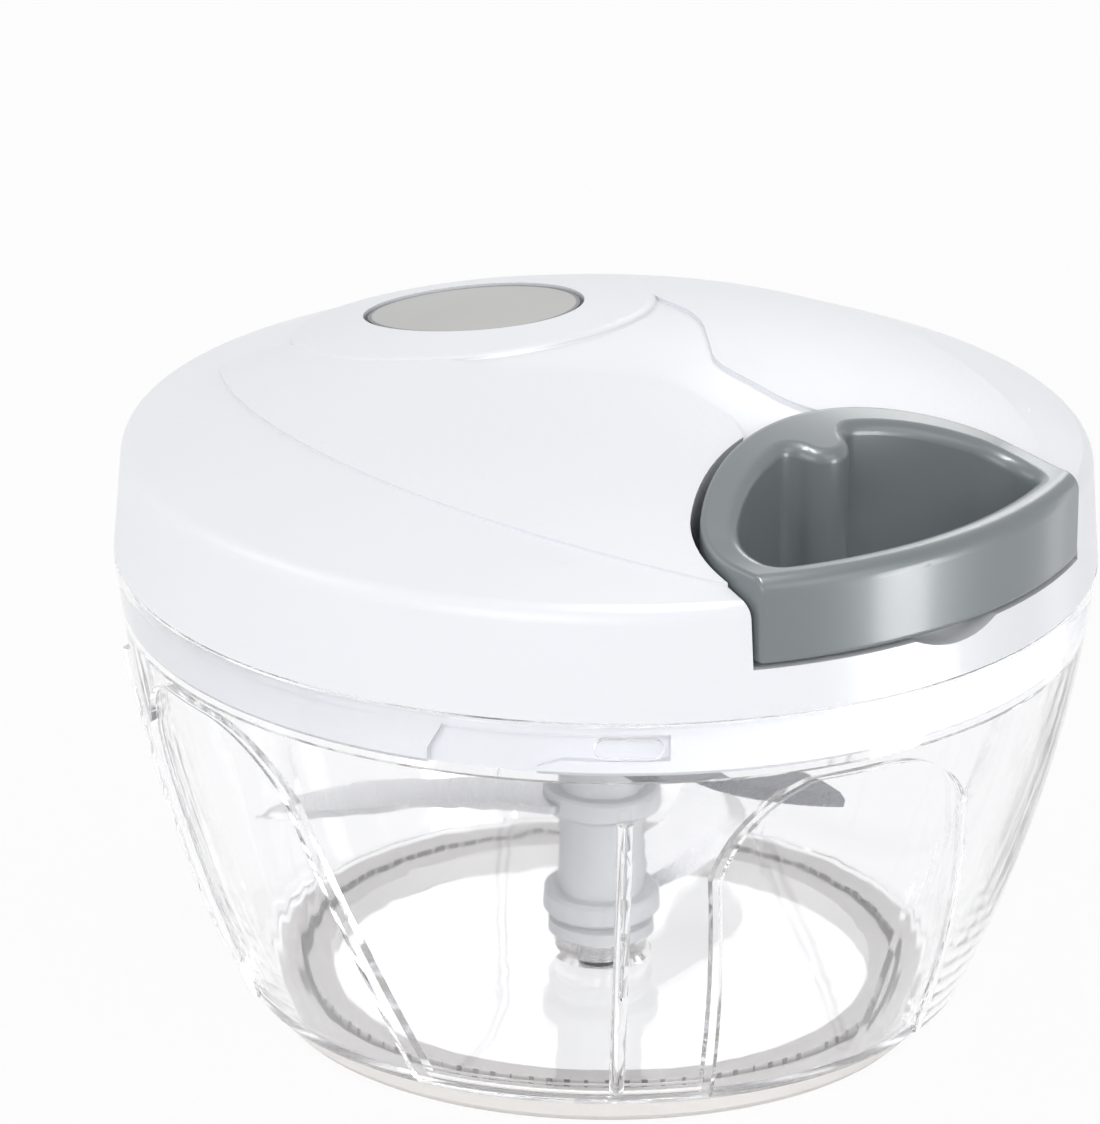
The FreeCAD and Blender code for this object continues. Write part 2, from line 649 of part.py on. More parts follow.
def screws(name, reach, turns, shank, head, low, seat, up):
    """Screws as one piece list; up is 1 when the heads are on top."""
    items = []
    for turn in turns:
        x, y = around(reach, turn)
        ends = (low, seat) if up > 0 else (seat, low)
        cap = (seat, seat + " + 1.7") if up > 0 else (seat + " - 1.7", seat)
        slot = (seat + " + 0.9", seat + " + 3") if up > 0 else (seat + " - 3", seat + " - 0.9")
        key = "%s_%d" % (name, turn)
        body = join(key + "_form", post(key + "_shank", shank, *ends, x, y), post(key + "_head", head, *cap, x, y))
        items.append(cut(key, body, post(key + "_slot", shank + " * 0.8", *slot, x, y)))
    return items


housing_screws = join("housing_screws", *screws("housing_screw", "house_ear", ear_turns, "1.2", "2.3",
                                                "plate_floor - 2.4", "plate_floor + floor_thick + 1.8", 1))
housing_thread = [post("housing_thread_%d" % turn, "1.2", "plate_floor - 2.4", "plate_floor + 5",
                       *around("house_ear", turn)) for turn in ear_turns]
reel_housing = cut("reel_housing", join("house_full", house_form, ears), window, arbor_boss, *housing_thread)

# Base plate of the lid: floor, hub, skirt with the L-shaped slots for the lugs
base_form = turned("base_form", [
    ("bush_r + run_fit", "56.4"), ("11.0", "56.4"), ("11.0", "plate_floor"), ("skirt_in", "plate_floor"),
    ("skirt_in", "skirt_low + 0.5"), ("skirt_in + 0.5", "skirt_low"), ("skirt_r - 0.5", "skirt_low"),
    ("skirt_r", "skirt_low + 0.5"), ("skirt_r", "62.6"), ("57.4", "62.6"),
    ("57.4", "plate_floor + floor_thick"), ("bush_r + run_fit", "plate_floor + floor_thick"),
])
base_bosses = [post("base_boss_%d" % turn, "3.2", "plate_floor - 3.6", "plate_floor + 0.5",
                    *around("house_ear", turn)) for turn in ear_turns]
slot_runs = turned("slot_runs", [
    ("slot_r", "slot_low"), ("skirt_r + 1", "slot_low"), ("skirt_r + 1", "slot_top"), ("slot_r", "slot_top"),
], 22.1, -47.55, 4)
slot_gates = outward("slot_gates", [
    ("-6.8", "52.0"), ("6.8", "52.0"), ("6.8", "slot_low - 1.0"), ("9.6", "slot_low"), ("9.6", "slot_top"),
    ("-4.8", "slot_top"), ("-6.7", "slot_top - 3.4"),
], -58.6, "50", "70", 4)
slot_band = turned("slot_band", [
    ("slot_r", "51.0"), ("skirt_r + 1", "51.0"), ("skirt_r + 1", "slot_top"), ("slot_r", "slot_top"),
])
screw_turns = (50, 130, 230, 310)
screw_holes = [post("screw_hole_%d" % turn, "screw_r + 0.1", "plate_floor - 1", "plate_floor + 4",
                    *around("screw_ring", turn)) for turn in screw_turns]
base_plate = cut("base_plate", join("base_full", base_form, *base_bosses), slot_runs,
                 common("slot_entries", slot_gates, slot_band), *housing_thread, *screw_holes)
cover_screws = join("cover_screws", *screws("cover_screw", "screw_ring", screw_turns, "screw_r", "screw_head",
                                            "plate_floor + 11", "plate_floor", -1))


# The dome is part of a ball whose poles lie at its sides, so that no pole or seam falls on the cover
def ball(name, rise):
    item = doc.addObject("Part::Sphere", name)
    bind(item, "Radius", "dome_r + (%s)" % rise)
    bind(item, "Placement.Base.z", "dome_c")
    item.Placement.Rotation = FreeCAD.Rotation(V(0, 0, -1), V(-1, 0, 0), V(0, 1, 0), "ZYX")
    return item


def dome_skin(name, form, low, high):
    """What of a form lies between two offsets of the dome."""
    return cut(name, common(name + "_cap", form, ball(name + "_high", high)), ball(name + "_low", low))


def tilted(item, x):
    """Sets an item made about the dome's centre upright on the dome at x."""
    turn = math.degrees(math.asin(value(x) / value("dome_r")))
    item.Placement = FreeCAD.Placement(V(0, 0, value("dome_c")), FreeCAD.Rotation(V(0, 1, 0), turn))
    return item


# Cover shell
edge_z = "dome_c + sqrt(dome_r * dome_r - shoulder_r * shoulder_r)"
side_form = turned("side_form", [
    ("0", "seam_z + seam_gap"), ("rim_r", "seam_z + seam_gap"), ("shoulder_r", edge_z),
    ("shoulder_r - 0.2", "top_z + 5"), ("0", "top_z + 5"),
])
cover_outer = softened("cover_outer", common("outer_sharp", side_form, ball("outer_ball", "0")), "2.5",
                       lambda middle, box: abs(middle.z - value(edge_z)) < 0.2 and box.ZLength < 0.5)
side_inside = turned("side_inside", [
    ("0", "seam_z - 2"), ("rim_r - cover_wall - 0.1", "seam_z - 2"), ("rim_r - cover_wall - 0.1", "seam_z + 2"),
    ("shoulder_r - cover_wall", edge_z + " - cover_wall"), ("shoulder_r - cover_wall", "top_z + 5"), ("0", "top_z + 5"),
])
cover_inner = common("cover_inner", side_inside, ball("inner_ball", "-cover_wall"))
cover_shell = cut("cover_shell", cover_outer, cover_inner)


# Handle outline, its recess with the gap around it, and the lining of the recess
def half_plan(gap, side, offset):
    """Where the arch's arc meets the hip's, and where that meets the straight side, on the +Y half."""
    hip_y = "(ear_y + (%s) - hip_bow)" % side
    reach = "(arch_bow + (%s) - hip_bow)" % gap
    run = "sqrt({0} * {0} - {1} * {1})".format(reach, hip_y)
    share = "(arch_bow + (%s) + (%s)) / %s" % (gap, offset, reach)
    arch = ("arch_c - %s * %s" % (share, run), "%s * %s" % (share, hip_y))
    return arch, ("arch_c - " + run, "ear_y + (%s) + (%s)" % (side, offset))


def mirrored(corner):
    return corner[0], "-(%s)" % corner[1]


def handle_plan(gap, side):
    """Arch at the back, hips and straight sides, each tangent to the next; side is the gap at the sides."""
    arch, hip = half_plan(gap, side, "0")
    bow = "arch_bow + (%s)" % gap
    return [
        mirrored(arch) + (bow, 1), mirrored(hip) + ("hip_bow", 1), ("rim_r + 13", "-(%s)" % hip[1]),
        ("rim_r + 13", hip[1]), hip, arch + ("hip_bow", 1), ("handle_back - (%s)" % gap, "0", bow, 1),
    ]


recess = raised("recess", handle_plan("recess_gap", "0.65"), "ledge_z", "top_z + 6")
lining_form = raised("lining_form", handle_plan("recess_gap + lining", "0.65 + lining"),
                     "ledge_z - ledge_thick", "top_z + 6")
lining_form_in = common("lining_in", lining_form, cover_outer)

# Raised wings beside the handle and the boss behind it
def wing(name, side):
    """Side is -1 for the wing toward -Y, 1 for its mirror image."""
    corners = [
        ("51.5", "-27.2", "75", 1), ("40.0", "-15.0"), ("31.0", "-7.0"), ("24.0", "-4.6", "12", 1), ("16.5", "-4.6"),
        ("11.0", "-7.2", "9", 1), ("5.5", "-11.6"), ("-8.0", "-17.6", "24", -1), ("-20.0", "-20.0", "40", -1),
        ("-40.0", "-20.0"), ("-44.5", "-25.7"),
    ]
    if side > 0:
        corners = [mirrored(corner) + ((corner[2], -corner[3]) if corner[2:] else ()) for corner in corners]
    return dome_skin(name, raised(name + "_plan", corners, "70", "top_z + 4"), "-1.2", "wing_rise")


wings = [wing("wing_right", -1), wing("wing_left", 1)]
boss_top, boss_edge = "(dome_r + boss_rise)", "(boss_r - 1.6)"
boss = tilted(turned("boss", [
    ("2.0", "sqrt((dome_r - 1.2) * (dome_r - 1.2) - 4)"),
    ("boss_r", "sqrt((dome_r - 1.2) * (dome_r - 1.2) - boss_r * boss_r)", "dome_r - 1.2", -1),
    ("boss_r", "sqrt({0} * {0} - {1} * {1}) - 1.3".format(boss_top, boss_edge)),
    (boss_edge, "sqrt({0} * {0} - {1} * {1})".format(boss_top, boss_edge), "1.7", 1),
    ("2.0", "sqrt({0} * {0} - 4)".format(boss_top), boss_top, 1),
]), "boss_x")


# Oval badge in its pocket
def badge_form(name, gap, high):
    form = tilted(oval(name + "_form", "badge_long + " + gap, "badge_wide + " + gap, "dome_r - 10", "dome_r + 4", "0"),
                  "badge_x")
    return dome_skin(name, form, "-0.9", high)


badge_plate = badge_form("badge_plate", "0", "0.4")
pocket = badge_form("pocket", "badge_gap", "3")

# Cover: shell, lining, wings, boss and screw bosses, less the recess, the scoop and the eyelet's hole
cover_bosses = [post("cover_boss_%d" % turn, "3.3", "plate_floor + floor_thick", "78.2",
                     *around("screw_ring", turn)) for turn in screw_turns]
boss_threads = [post("boss_thread_%d" % turn, "screw_r", "plate_floor", "plate_floor + 12",
                     *around("screw_ring", turn)) for turn in screw_turns]
scoop = rod("scoop", "16", "50", "70", "ledge_z + 14.4")
top_cover = cut("top_cover", join("cover_full", cover_shell, lining_form_in, boss, *wings, *cover_bosses),
                recess, pocket, scoop, rod("eyelet_hole", "3.2", "20", "32", "bow_z"), *boss_threads)

# Eyelet in the back wall of the recess, turned about the cord's way
eyelet_back = "handle_back - recess_gap - lining"
cord_eyelet = turned("cord_eyelet", [
    ("bend_r", "eye_x - 1.8", "1.8", 1), ("4.5", "eye_x - 1.8"), ("4.5", eyelet_back), ("3.2", eyelet_back),
    ("3.2", "handle_back - recess_gap"), ("4.1", "handle_back - recess_gap"),
    ("4.1", "handle_back - recess_gap + 0.4"), ("3.8", "handle_back - recess_gap + 0.7"),
    ("1.7", "handle_back - recess_gap + 0.7"), ("1.2", "handle_back - recess_gap + 0.2"),
    ("1.2", "eye_x"),
])
cord_eyelet.Placement = FreeCAD.Placement(V(0, 0, value("bow_z")), FreeCAD.Rotation(V(0, 1, 0), 90))

# Cord from the drum to the eyelet
cord_lead = doc.addObject("PartDesign::Body", "cord_lead")
lead_way = drawing(cord_lead, "lead_way", "XY_Plane", 0, "bow_z")
path(lead_way, [
    ("-wind_r * head_y + free_run * head_x", "wind_r * head_x + free_run * head_y"),
    ("eye_x + bend_r * head_y", "bend_r - bend_r * head_x"), ("eye_x", "0", "bend_r", 1),
], closed=False)
lead_round = drawing(cord_lead, "lead_round", "YZ_Plane", 0, "eye_x")
round_side = lead_round.addGeometry(Part.Circle(V(0, value("bow_z"), 0), V(0, 0, 1), value("cord_r")), False)
place(lead_round, round_side, 3, "0", "bow_z")
fix(lead_round, "Radius", (round_side,), "cord_r")
lead_pipe = cord_lead.newObject("PartDesign::AdditivePipe", "lead_pipe")
lead_pipe.Profile = lead_round
lead_pipe.Spine = (lead_way, ["Edge1", "Edge2"])

# Handle: an outline trimmed by a turned form with a swept top and a rounded front wall
handle_form = turned("handle_form", [
    ("25.0", "handle_z"), ("handle_r - 0.7", "handle_z"), ("handle_r", "handle_z + 0.7", "0.72", 1),
    ("handle_r", "76.45"), ("handle_r - 2.2", "78.65", "2.22", 1), ("51.0", "80.45", "25.3", -1),
    ("25.0", "88.3", "150", 1),
], turn=180)
handle_block = common("handle_block", raised("handle_outline", handle_plan("0", "0"), "handle_z - 1", "top_z + 4"),
                      handle_form)

# Finger loop: the outline moved inward, its front on a circle, with a column blended into its back
front = ("sqrt(loop_front * loop_front - (ear_y - rim_wide) * (ear_y - rim_wide))", "ear_y - rim_wide")
arch_in, hip_in = half_plan("0", "0", "-rim_wide")
arch_end = ("arch_c - (arch_bow - rim_wide) / blend_far * (arch_c - blend_x)",
            "(arch_bow - rim_wide) / blend_far * blend_y")
column_end = ("column_x + column_r * blend_c", "column_r / blend_near * blend_y")
inside_bow, inside_hip = "arch_bow - rim_wide", "hip_bow - rim_wide"
loop = rounded_uprights(raised("loop", [
    mirrored(front), front + ("loop_front", 1), hip_in, arch_in + (inside_hip, 1), arch_end + (inside_bow, 1),
    column_end + ("blend_r", 1), mirrored(column_end) + ("column_r", -1), mirrored(arch_end) + ("blend_r", 1),
    mirrored(arch_in) + (inside_bow, 1), mirrored(hip_in) + (inside_hip, 1),
], "60", "top_z + 6"), "2.5")
handle_loop = cut("handle_loop", handle_block, loop)


# Rounded edges: wide along the loop's top, narrow along the outline's top and at the ears
def on_outline(point):
    """Whether a point lies on the handle's outer outline."""
    hip_x, hip_y = value(half_plan("0", "0", "0")[1][0]), value("ear_y - hip_bow")
    side = abs(point.y)
    return min(abs(side - value("ear_y")),
               abs(math.hypot(point.x - value("arch_c"), side) - value("arch_bow")),
               abs(math.hypot(point.x - hip_x, side - hip_y) - value("hip_bow"))) < 0.02


def on_top(point, box):
    """Whether a point lies on an edge of the top other than the two rings where its forms meet."""
    rings = abs(math.hypot(point.x, point.y) - value("handle_r - 2.2")) < 0.05 or abs(point.z - 80.45) < 0.01
    return point.z > 78 and box.XLength + box.YLength > 1e-4 and not rings


handle_rim = softened("handle_rim", handle_loop, "rim_round", lambda point, box: (
    on_top(point, box) and not on_outline(point)))
handle_soft = softened("handle_soft", handle_rim, "0.8", lambda point, box: on_outline(point) and (
    on_top(point, box) or (abs(point.y) > value("ear_y - 0.02") and point.x > 54)))
pull_handle = cut("pull_handle", handle_soft, post("knot_bore", "bore_r", "handle_z - 1", "bow_z + 2.6", "column_x"),
                  rod("cord_hole", "cord_r + 0.25", "30", "column_x", "bow_z"))

# Cord end in the handle and its knot in the column
cord_end = rod("cord_end", "cord_r", "eye_x + 0.05", "34.5", "bow_z")
cord_knot = turned("cord_knot", [
    ("0", "34.5"), ("0.9", "34.5"), ("1.8", "35.3"), ("1.6", "36.1"), ("2.0", "36.9"), ("1.6", "37.8"), ("0.9", "38.4"),
    ("0", "38.4"),
])
cord_knot.Placement = FreeCAD.Placement(V(0, 0, value("bow_z")), FreeCAD.Rotation(V(0, 1, 0), 90))

# Check every object, then write one file per piece
doc.recompute()
pieces = [
    bowl, foot_ring, pivot_pin, blade_spindle, blade_lower, blade_middle, blade_upper, shaft_bush, drive_shaft,
    pawl_left, pawl_right, cord_reel, cord_winding, power_spring, spring_cover, reel_arbor, arbor_screw,
    arbor_washer, reel_housing, housing_screws, base_plate, cover_screws, top_cover, badge_plate, cord_eyelet,
    cord_lead, pull_handle, cord_end, cord_knot,
]
faults = [item.Name for item in doc.Objects if {"Invalid", "Error"} & set(item.State)]
faults += [item.Name for item in pieces if item.Shape.isNull() or not item.Shape.isValid()]
if faults:
    raise RuntimeError("faulty objects: " + ", ".join(faults))
os.makedirs("parts", exist_ok=True)
for item in pieces:
    item.Shape.exportStep("parts/%s.step" % item.Label)
    print(item.Label, len(item.Shape.Solids), round(item.Shape.Volume), item.Shape.BoundBox)
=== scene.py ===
"""Looks of the pull-string chopper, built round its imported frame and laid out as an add-on."""
import math

import bmesh
import bpy
from bpy.props import FloatProperty, FloatVectorProperty, IntProperty, PointerProperty
from mathutils import Matrix, Vector


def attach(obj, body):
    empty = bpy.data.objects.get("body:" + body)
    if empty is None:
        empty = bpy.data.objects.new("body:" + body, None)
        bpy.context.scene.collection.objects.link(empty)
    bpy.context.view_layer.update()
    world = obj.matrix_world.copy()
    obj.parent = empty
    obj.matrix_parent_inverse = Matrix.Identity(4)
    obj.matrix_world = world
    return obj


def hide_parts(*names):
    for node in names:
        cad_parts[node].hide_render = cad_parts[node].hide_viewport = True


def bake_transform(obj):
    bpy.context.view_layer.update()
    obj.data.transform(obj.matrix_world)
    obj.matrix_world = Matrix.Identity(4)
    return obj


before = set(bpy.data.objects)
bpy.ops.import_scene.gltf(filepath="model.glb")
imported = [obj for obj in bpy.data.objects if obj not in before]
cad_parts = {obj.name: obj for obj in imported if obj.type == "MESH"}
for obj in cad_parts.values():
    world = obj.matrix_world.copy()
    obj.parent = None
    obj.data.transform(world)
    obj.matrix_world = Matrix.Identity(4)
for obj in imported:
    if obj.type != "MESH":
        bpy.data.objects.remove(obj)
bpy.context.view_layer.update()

bl_info = {
    "name": "Pull-string chopper",
    "version": (1, 0, 0),
    "blender": (4, 5, 0),
    "location": "3D View > Sidebar > Chopper",
    "description": "Dresses the packed chopper with its finishes, cord, spring, screws and stage",
    "category": "Object",
}

MM = 0.001


# Sizes and colours that a user would change

def colour(name, description, default):
    return FloatVectorProperty(name=name, description=description, default=default, size=3, subtype="COLOR", min=0, max=1)


def length(name, description, default):
    return FloatProperty(name=name, description=description, default=default, min=0, unit="LENGTH", precision=5)


class ChopperFinishes(bpy.types.PropertyGroup):
    """Colours of the mouldings, the steel and the cord"""
    cover: colour("Cover", "White of the domed cover", (0.84, 0.853, 0.89))
    ring: colour("Foot ring", "Cream of the soft foot ring", (0.84, 0.815, 0.79))
    badge: colour("Oval plate", "Grey of the oval plate", (0.42, 0.418, 0.41))
    handle: colour("Handle", "Grey of the pull handle", (0.178, 0.202, 0.211))
    clear: colour("Bowl", "Tint of the clear bowl", (0.985, 0.985, 0.992))
    inner: colour("Inner mouldings", "Pale grey of the parts inside", (0.62, 0.63, 0.64))
    steel: colour("Steel", "Blades, screws and spring", (0.62, 0.62, 0.63))
    cord: colour("Cord", "Braided pull cord", (0.74, 0.74, 0.72))
    grain_size: FloatProperty(name="Grain", description="Size of the cover's fine grain", default=0.00042, min=0.0001, unit="LENGTH", precision=5)


class ChopperSizes(bpy.types.PropertyGroup):
    """Sizes of the pieces made here"""
    cord_radius: length("Cord radius", "Half the cord's thickness", 0.85 * MM)
    wind_radius: length("Winding radius", "From the reel's axis to the middle of the cord", 18 * MM)
    wind_pitch: length("Winding pitch", "Rise of one turn", 2.2 * MM)
    wind_turns: IntProperty(name="Turns", description="Turns of cord on the drum", default=4, min=1)
    spring_inner: length("Spring's inner radius", "Innermost turn of the spring", 4.8 * MM)
    spring_outer: length("Spring's outer radius", "Outermost turn of the spring", 15.25 * MM)
    spring_thick: length("Spring's thickness", "Thickness of the strip", 0.45 * MM)
    spring_tall: length("Spring's height", "Width of the strip", 5 * MM)
    spring_turns: FloatProperty(name="Spring turns", description="Turns of the strip", default=7, min=1)


class ChopperStage(bpy.types.PropertyGroup):
    """Lamps, world and floor"""
    key: FloatProperty(name="Key", description="Power of the large lamp on the left", default=1.75, min=0, unit="POWER")
    fill: FloatProperty(name="Fill", description="Power of the lamp on the right", default=1.3, min=0, unit="POWER")
    top: FloatProperty(name="Top", description="Power of the lamp overhead", default=0.65, min=0, unit="POWER")
    front: FloatProperty(name="Front", description="Power of the wide lamp by the camera", default=3.6, min=0, unit="POWER")
    back: FloatProperty(name="Back", description="Power of the lamp behind the lid", default=0.3, min=0, unit="POWER")
    gloss: FloatProperty(name="Gloss", description="Power of the strips that show only in gloss", default=0.1, min=0, unit="POWER")
    ambient: FloatProperty(name="Ambient", description="Strength of the world on the object", default=0.6, min=0)
    floor: colour("Floor", "Colour of the floor", (0.9, 0.9, 0.905))


# Finishes: effects shared by several materials, each a node group

def new_group(name, takes, gives):
    tree = bpy.data.node_groups.new(name, "ShaderNodeTree")
    for label, kind, default in takes:
        socket = tree.interface.new_socket(label, in_out="INPUT", socket_type=kind)
        socket.default_value = default
    for label, kind in gives:
        tree.interface.new_socket(label, in_out="OUTPUT", socket_type=kind)
    return tree, tree.nodes.new("NodeGroupInput"), tree.nodes.new("NodeGroupOutput")


def add(tree, kind, settings=None, **values):
    """A node with its settings and the values of its inputs; a socket as value is linked."""
    node = tree.nodes.new(kind)
    for key, value in (settings or {}).items():
        setattr(node, key, value)
    for key, value in values.items():
        name = key.replace("_", " ")
        socket = node.inputs[int(key[1:])] if key[0] == "i" and key[1:].isdigit() else node.inputs[name]
        if isinstance(value, bpy.types.NodeSocket):
            tree.links.new(value, socket)
        else:
            socket.default_value = value
    return node


def math_node(tree, operation, first, second=0.0, third=0.0):
    return add(tree, "ShaderNodeMath", {"operation": operation}, i0=first, i1=second, i2=third).outputs[0]


def noise(tree, scale, detail=2.0, rough=0.5, vector=None):
    where = vector or add(tree, "ShaderNodeTexCoord").outputs["Object"]
    return add(tree, "ShaderNodeTexNoise", Vector=where, Scale=scale, Detail=detail, Roughness=rough).outputs["Fac"]


def remap(tree, value, low, high, to_low, to_high):
    node = add(tree, "ShaderNodeMapRange", i0=value, i1=low, i2=high, i3=to_low, i4=to_high)
    return node.outputs[0]


def make_grain():
    """Fine spark-eroded grain of a mould: a height in metres."""
    tree, taken, given = new_group("Moulded grain", [
        ("Scale", "NodeSocketFloat", 2400.0), ("Depth", "NodeSocketFloat", 0.00002)], [("Height", "NodeSocketFloat")])
    fine = noise(tree, taken.outputs["Scale"], 1.0)
    wide = noise(tree, math_node(tree, "MULTIPLY", taken.outputs["Scale"], 0.42), 0.0)
    both = math_node(tree, "ADD", math_node(tree, "MULTIPLY", fine, 0.7), math_node(tree, "MULTIPLY", wide, 0.3))
    tree.links.new(math_node(tree, "MULTIPLY", both, taken.outputs["Depth"]), given.inputs["Height"])
    return tree


def make_use():
    """Light uneven use: colour drift and a roughness that varies."""
    tree, taken, given = new_group("Even use", [
        ("Colour", "NodeSocketColor", (1, 1, 1, 1)), ("Drift", "NodeSocketFloat", 0.05),
        ("Smoothest", "NodeSocketFloat", 0.25), ("Roughest", "NodeSocketFloat", 0.4)],
        [("Colour", "NodeSocketColor"), ("Roughness", "NodeSocketFloat")])
    cloud = noise(tree, 38.0, 3.0, 0.55)
    smear = noise(tree, 210.0, 2.0, 0.6)
    shade = math_node(tree, "SUBTRACT", 1.0, math_node(tree, "MULTIPLY", cloud, taken.outputs["Drift"]))
    grey = add(tree, "ShaderNodeCombineColor", Red=shade, Green=shade, Blue=shade).outputs[0]
    tint = add(tree, "ShaderNodeMix", {"data_type": "RGBA", "blend_type": "MULTIPLY"}, i0=1.0, i6=taken.outputs["Colour"], i7=grey)
    tree.links.new(tint.outputs[2], given.inputs["Colour"])
    spread = math_node(tree, "SUBTRACT", taken.outputs["Roughest"], taken.outputs["Smoothest"])
    rough = math_node(tree, "MULTIPLY_ADD", math_node(tree, "MULTIPLY", math_node(tree, "ADD", cloud, smear), 0.5), spread, taken.outputs["Smoothest"])
    tree.links.new(rough, given.inputs["Roughness"])
    return tree


def make_brush():
    """Ground steel: fine lines round the blades' axis and the height and roughness that they give."""
    tree, taken, given = new_group("Ground lines", [
        ("Fine", "NodeSocketFloat", 6000.0), ("Depth", "NodeSocketFloat", 0.000003)],
        [("Height", "NodeSocketFloat"), ("Roughness", "NodeSocketFloat")])
    where = add(tree, "ShaderNodeTexCoord").outputs["Object"]
    flat = add(tree, "ShaderNodeVectorMath", {"operation": "MULTIPLY"}, i0=where, i1=(1, 1, 0)).outputs[0]
    reach = add(tree, "ShaderNodeVectorMath", {"operation": "LENGTH"}, i0=flat).outputs["Value"]
    bent = math_node(tree, "MULTIPLY_ADD", noise(tree, 60.0, 1.0), 0.0012, reach)
    rise = add(tree, "ShaderNodeSeparateXYZ", i0=where).outputs[2]
    across = add(tree, "ShaderNodeCombineXYZ", X=math_node(tree, "MULTIPLY", bent, taken.outputs["Fine"]),
                 Z=math_node(tree, "MULTIPLY", rise, taken.outputs["Fine"])).outputs[0]
    lines = noise(tree, 1.0, 3.0, 0.6, across)
    tree.links.new(math_node(tree, "MULTIPLY", lines, taken.outputs["Depth"]), given.inputs["Height"])
    tree.links.new(remap(tree, lines, 0.3, 0.7, 0.18, 0.32), given.inputs["Roughness"])
    return tree


def make_braid():
    """Braid on a cord, from the distance along it and the direction round it."""
    tree, taken, given = new_group("Braid", [
        ("Pitch", "NodeSocketFloat", 0.0011), ("Strands", "NodeSocketFloat", 4.0), ("Depth", "NodeSocketFloat", 0.00012)],
        [("Height", "NodeSocketFloat"), ("Shade", "NodeSocketFloat")])
    along = add(tree, "ShaderNodeAttribute", {"attribute_name": "along"}).outputs["Fac"]
    across = add(tree, "ShaderNodeSeparateXYZ", i0=add(tree, "ShaderNodeAttribute", {"attribute_name": "across"}).outputs["Vector"])
    angle = math_node(tree, "ARCTAN2", across.outputs[1], across.outputs[0])
    steps = math_node(tree, "MULTIPLY", math_node(tree, "DIVIDE", along, taken.outputs["Pitch"]), 2 * math.pi)
    round_ = math_node(tree, "MULTIPLY", angle, taken.outputs["Strands"])
    right = math_node(tree, "SINE", math_node(tree, "ADD", steps, round_))
    left = math_node(tree, "SINE", math_node(tree, "SUBTRACT", steps, round_))
    both = math_node(tree, "MULTIPLY_ADD", math_node(tree, "ADD", right, left), 0.25, 0.5)
    tree.links.new(math_node(tree, "MULTIPLY", both, taken.outputs["Depth"]), given.inputs["Height"])
    tree.links.new(both, given.inputs["Shade"])
    return tree


GROUPS = {}


def effect(tree, name, makers={"Moulded grain": make_grain, "Even use": make_use, "Ground lines": make_brush, "Braid": make_braid}, **values):
    """Places a shared effect in a material, with that material's own values."""
    if name not in GROUPS:
        GROUPS[name] = makers[name]()
    return add(tree, "ShaderNodeGroup", {"node_tree": GROUPS[name]}, **values)


def finish_shell(name):
    """A material with its tree, its shader and nothing else."""
    material = bpy.data.materials.new(name)
    material.use_nodes = True
    tree = material.node_tree
    return material, tree, tree.nodes["Principled BSDF"]


def shaped(tree, shader, height, strength=1.0):
    """Feeds a height in metres to the shader's normal."""
    bump = add(tree, "ShaderNodeBump", Height=height, Distance=1.0, Strength=strength)
    tree.links.new(bump.outputs["Normal"], shader.inputs["Normal"])


def moulded(name, shade, smoothest, roughest, grain, depth, drift=0.05, coat=0.0, coat_rough=0.06, ior=1.49, subsurface=0.0):
    """Injection-moulded plastic or rubber."""
    material, tree, shader = finish_shell(name)
    use = effect(tree, "Even use", Colour=(*shade, 1), Drift=drift, Smoothest=smoothest, Roughest=roughest)
    tree.links.new(use.outputs["Colour"], shader.inputs["Base Color"])
    tree.links.new(use.outputs["Roughness"], shader.inputs["Roughness"])
    shader.inputs["IOR"].default_value = ior
    shader.inputs["Coat Weight"].default_value = coat
    shader.inputs["Coat Roughness"].default_value = coat_rough
    if subsurface:
        shader.inputs["Subsurface Weight"].default_value = subsurface
        shader.inputs["Subsurface Radius"].default_value = (0.002, 0.002, 0.002)
    shaped(tree, shader, effect(tree, "Moulded grain", Scale=1.0 / grain, Depth=depth).outputs["Height"])
    return material


def cover_finish(finishes):
    """White cover: fine grain on the raised panels and the boss, smoother on the ground between them, and a painted
    shade line along the steps round them on the dome.
    """
    material, tree, shader = finish_shell("White cover")
    use = effect(tree, "Even use", Colour=(*finishes.cover, 1), Drift=0.035, Smoothest=0.0, Roughest=0.08)
    where = add(tree, "ShaderNodeTexCoord").outputs["Object"]
    centre = add(tree, "ShaderNodeVectorMath", {"operation": "SUBTRACT"}, i0=where, i1=(0, 0, (88.3 - 145.0) * MM)).outputs[0]
    reach = add(tree, "ShaderNodeVectorMath", {"operation": "LENGTH"}, i0=centre).outputs["Value"]
    raised = remap(tree, reach, 145.15 * MM, 145.35 * MM, 0.0, 1.0)
    # Painted shade: a narrow band at the step of the raised panels and the boss, mixed towards dark blue-grey on the
    # dome, in place of the shade that falls in the step.
    painted_step_shade_band = math_node(tree, "MULTIPLY", math_node(tree, "MULTIPLY", raised, 4.0), math_node(tree, "SUBTRACT", 1.0, raised))
    on_dome = remap(tree, add(tree, "ShaderNodeSeparateXYZ", i0=where).outputs[2], 76.6 * MM, 77.4 * MM, 0.0, 1.0)
    shade = math_node(tree, "MULTIPLY", math_node(tree, "MULTIPLY", painted_step_shade_band, on_dome), 0.16)
    tint = add(tree, "ShaderNodeMix", {"data_type": "RGBA"}, i0=shade, i6=use.outputs["Colour"], i7=(0.3, 0.31, 0.36, 1))
    tree.links.new(tint.outputs[2], shader.inputs["Base Color"])
    tree.links.new(math_node(tree, "ADD", use.outputs["Roughness"], remap(tree, raised, 0, 1, 0.27, 0.40)), shader.inputs["Roughness"])
    grain = effect(tree, "Moulded grain", Scale=1.0 / finishes.grain_size, Depth=0.000045)
    shaped(tree, shader, math_node(tree, "MULTIPLY", grain.outputs["Height"], remap(tree, raised, 0, 1, 0.22, 1.0)))
    shader.inputs["IOR"].default_value = 1.5
    shader.inputs["Subsurface Weight"].default_value = 0.12
    shader.inputs["Subsurface Radius"].default_value = (0.0022, 0.002, 0.0018)
    return material


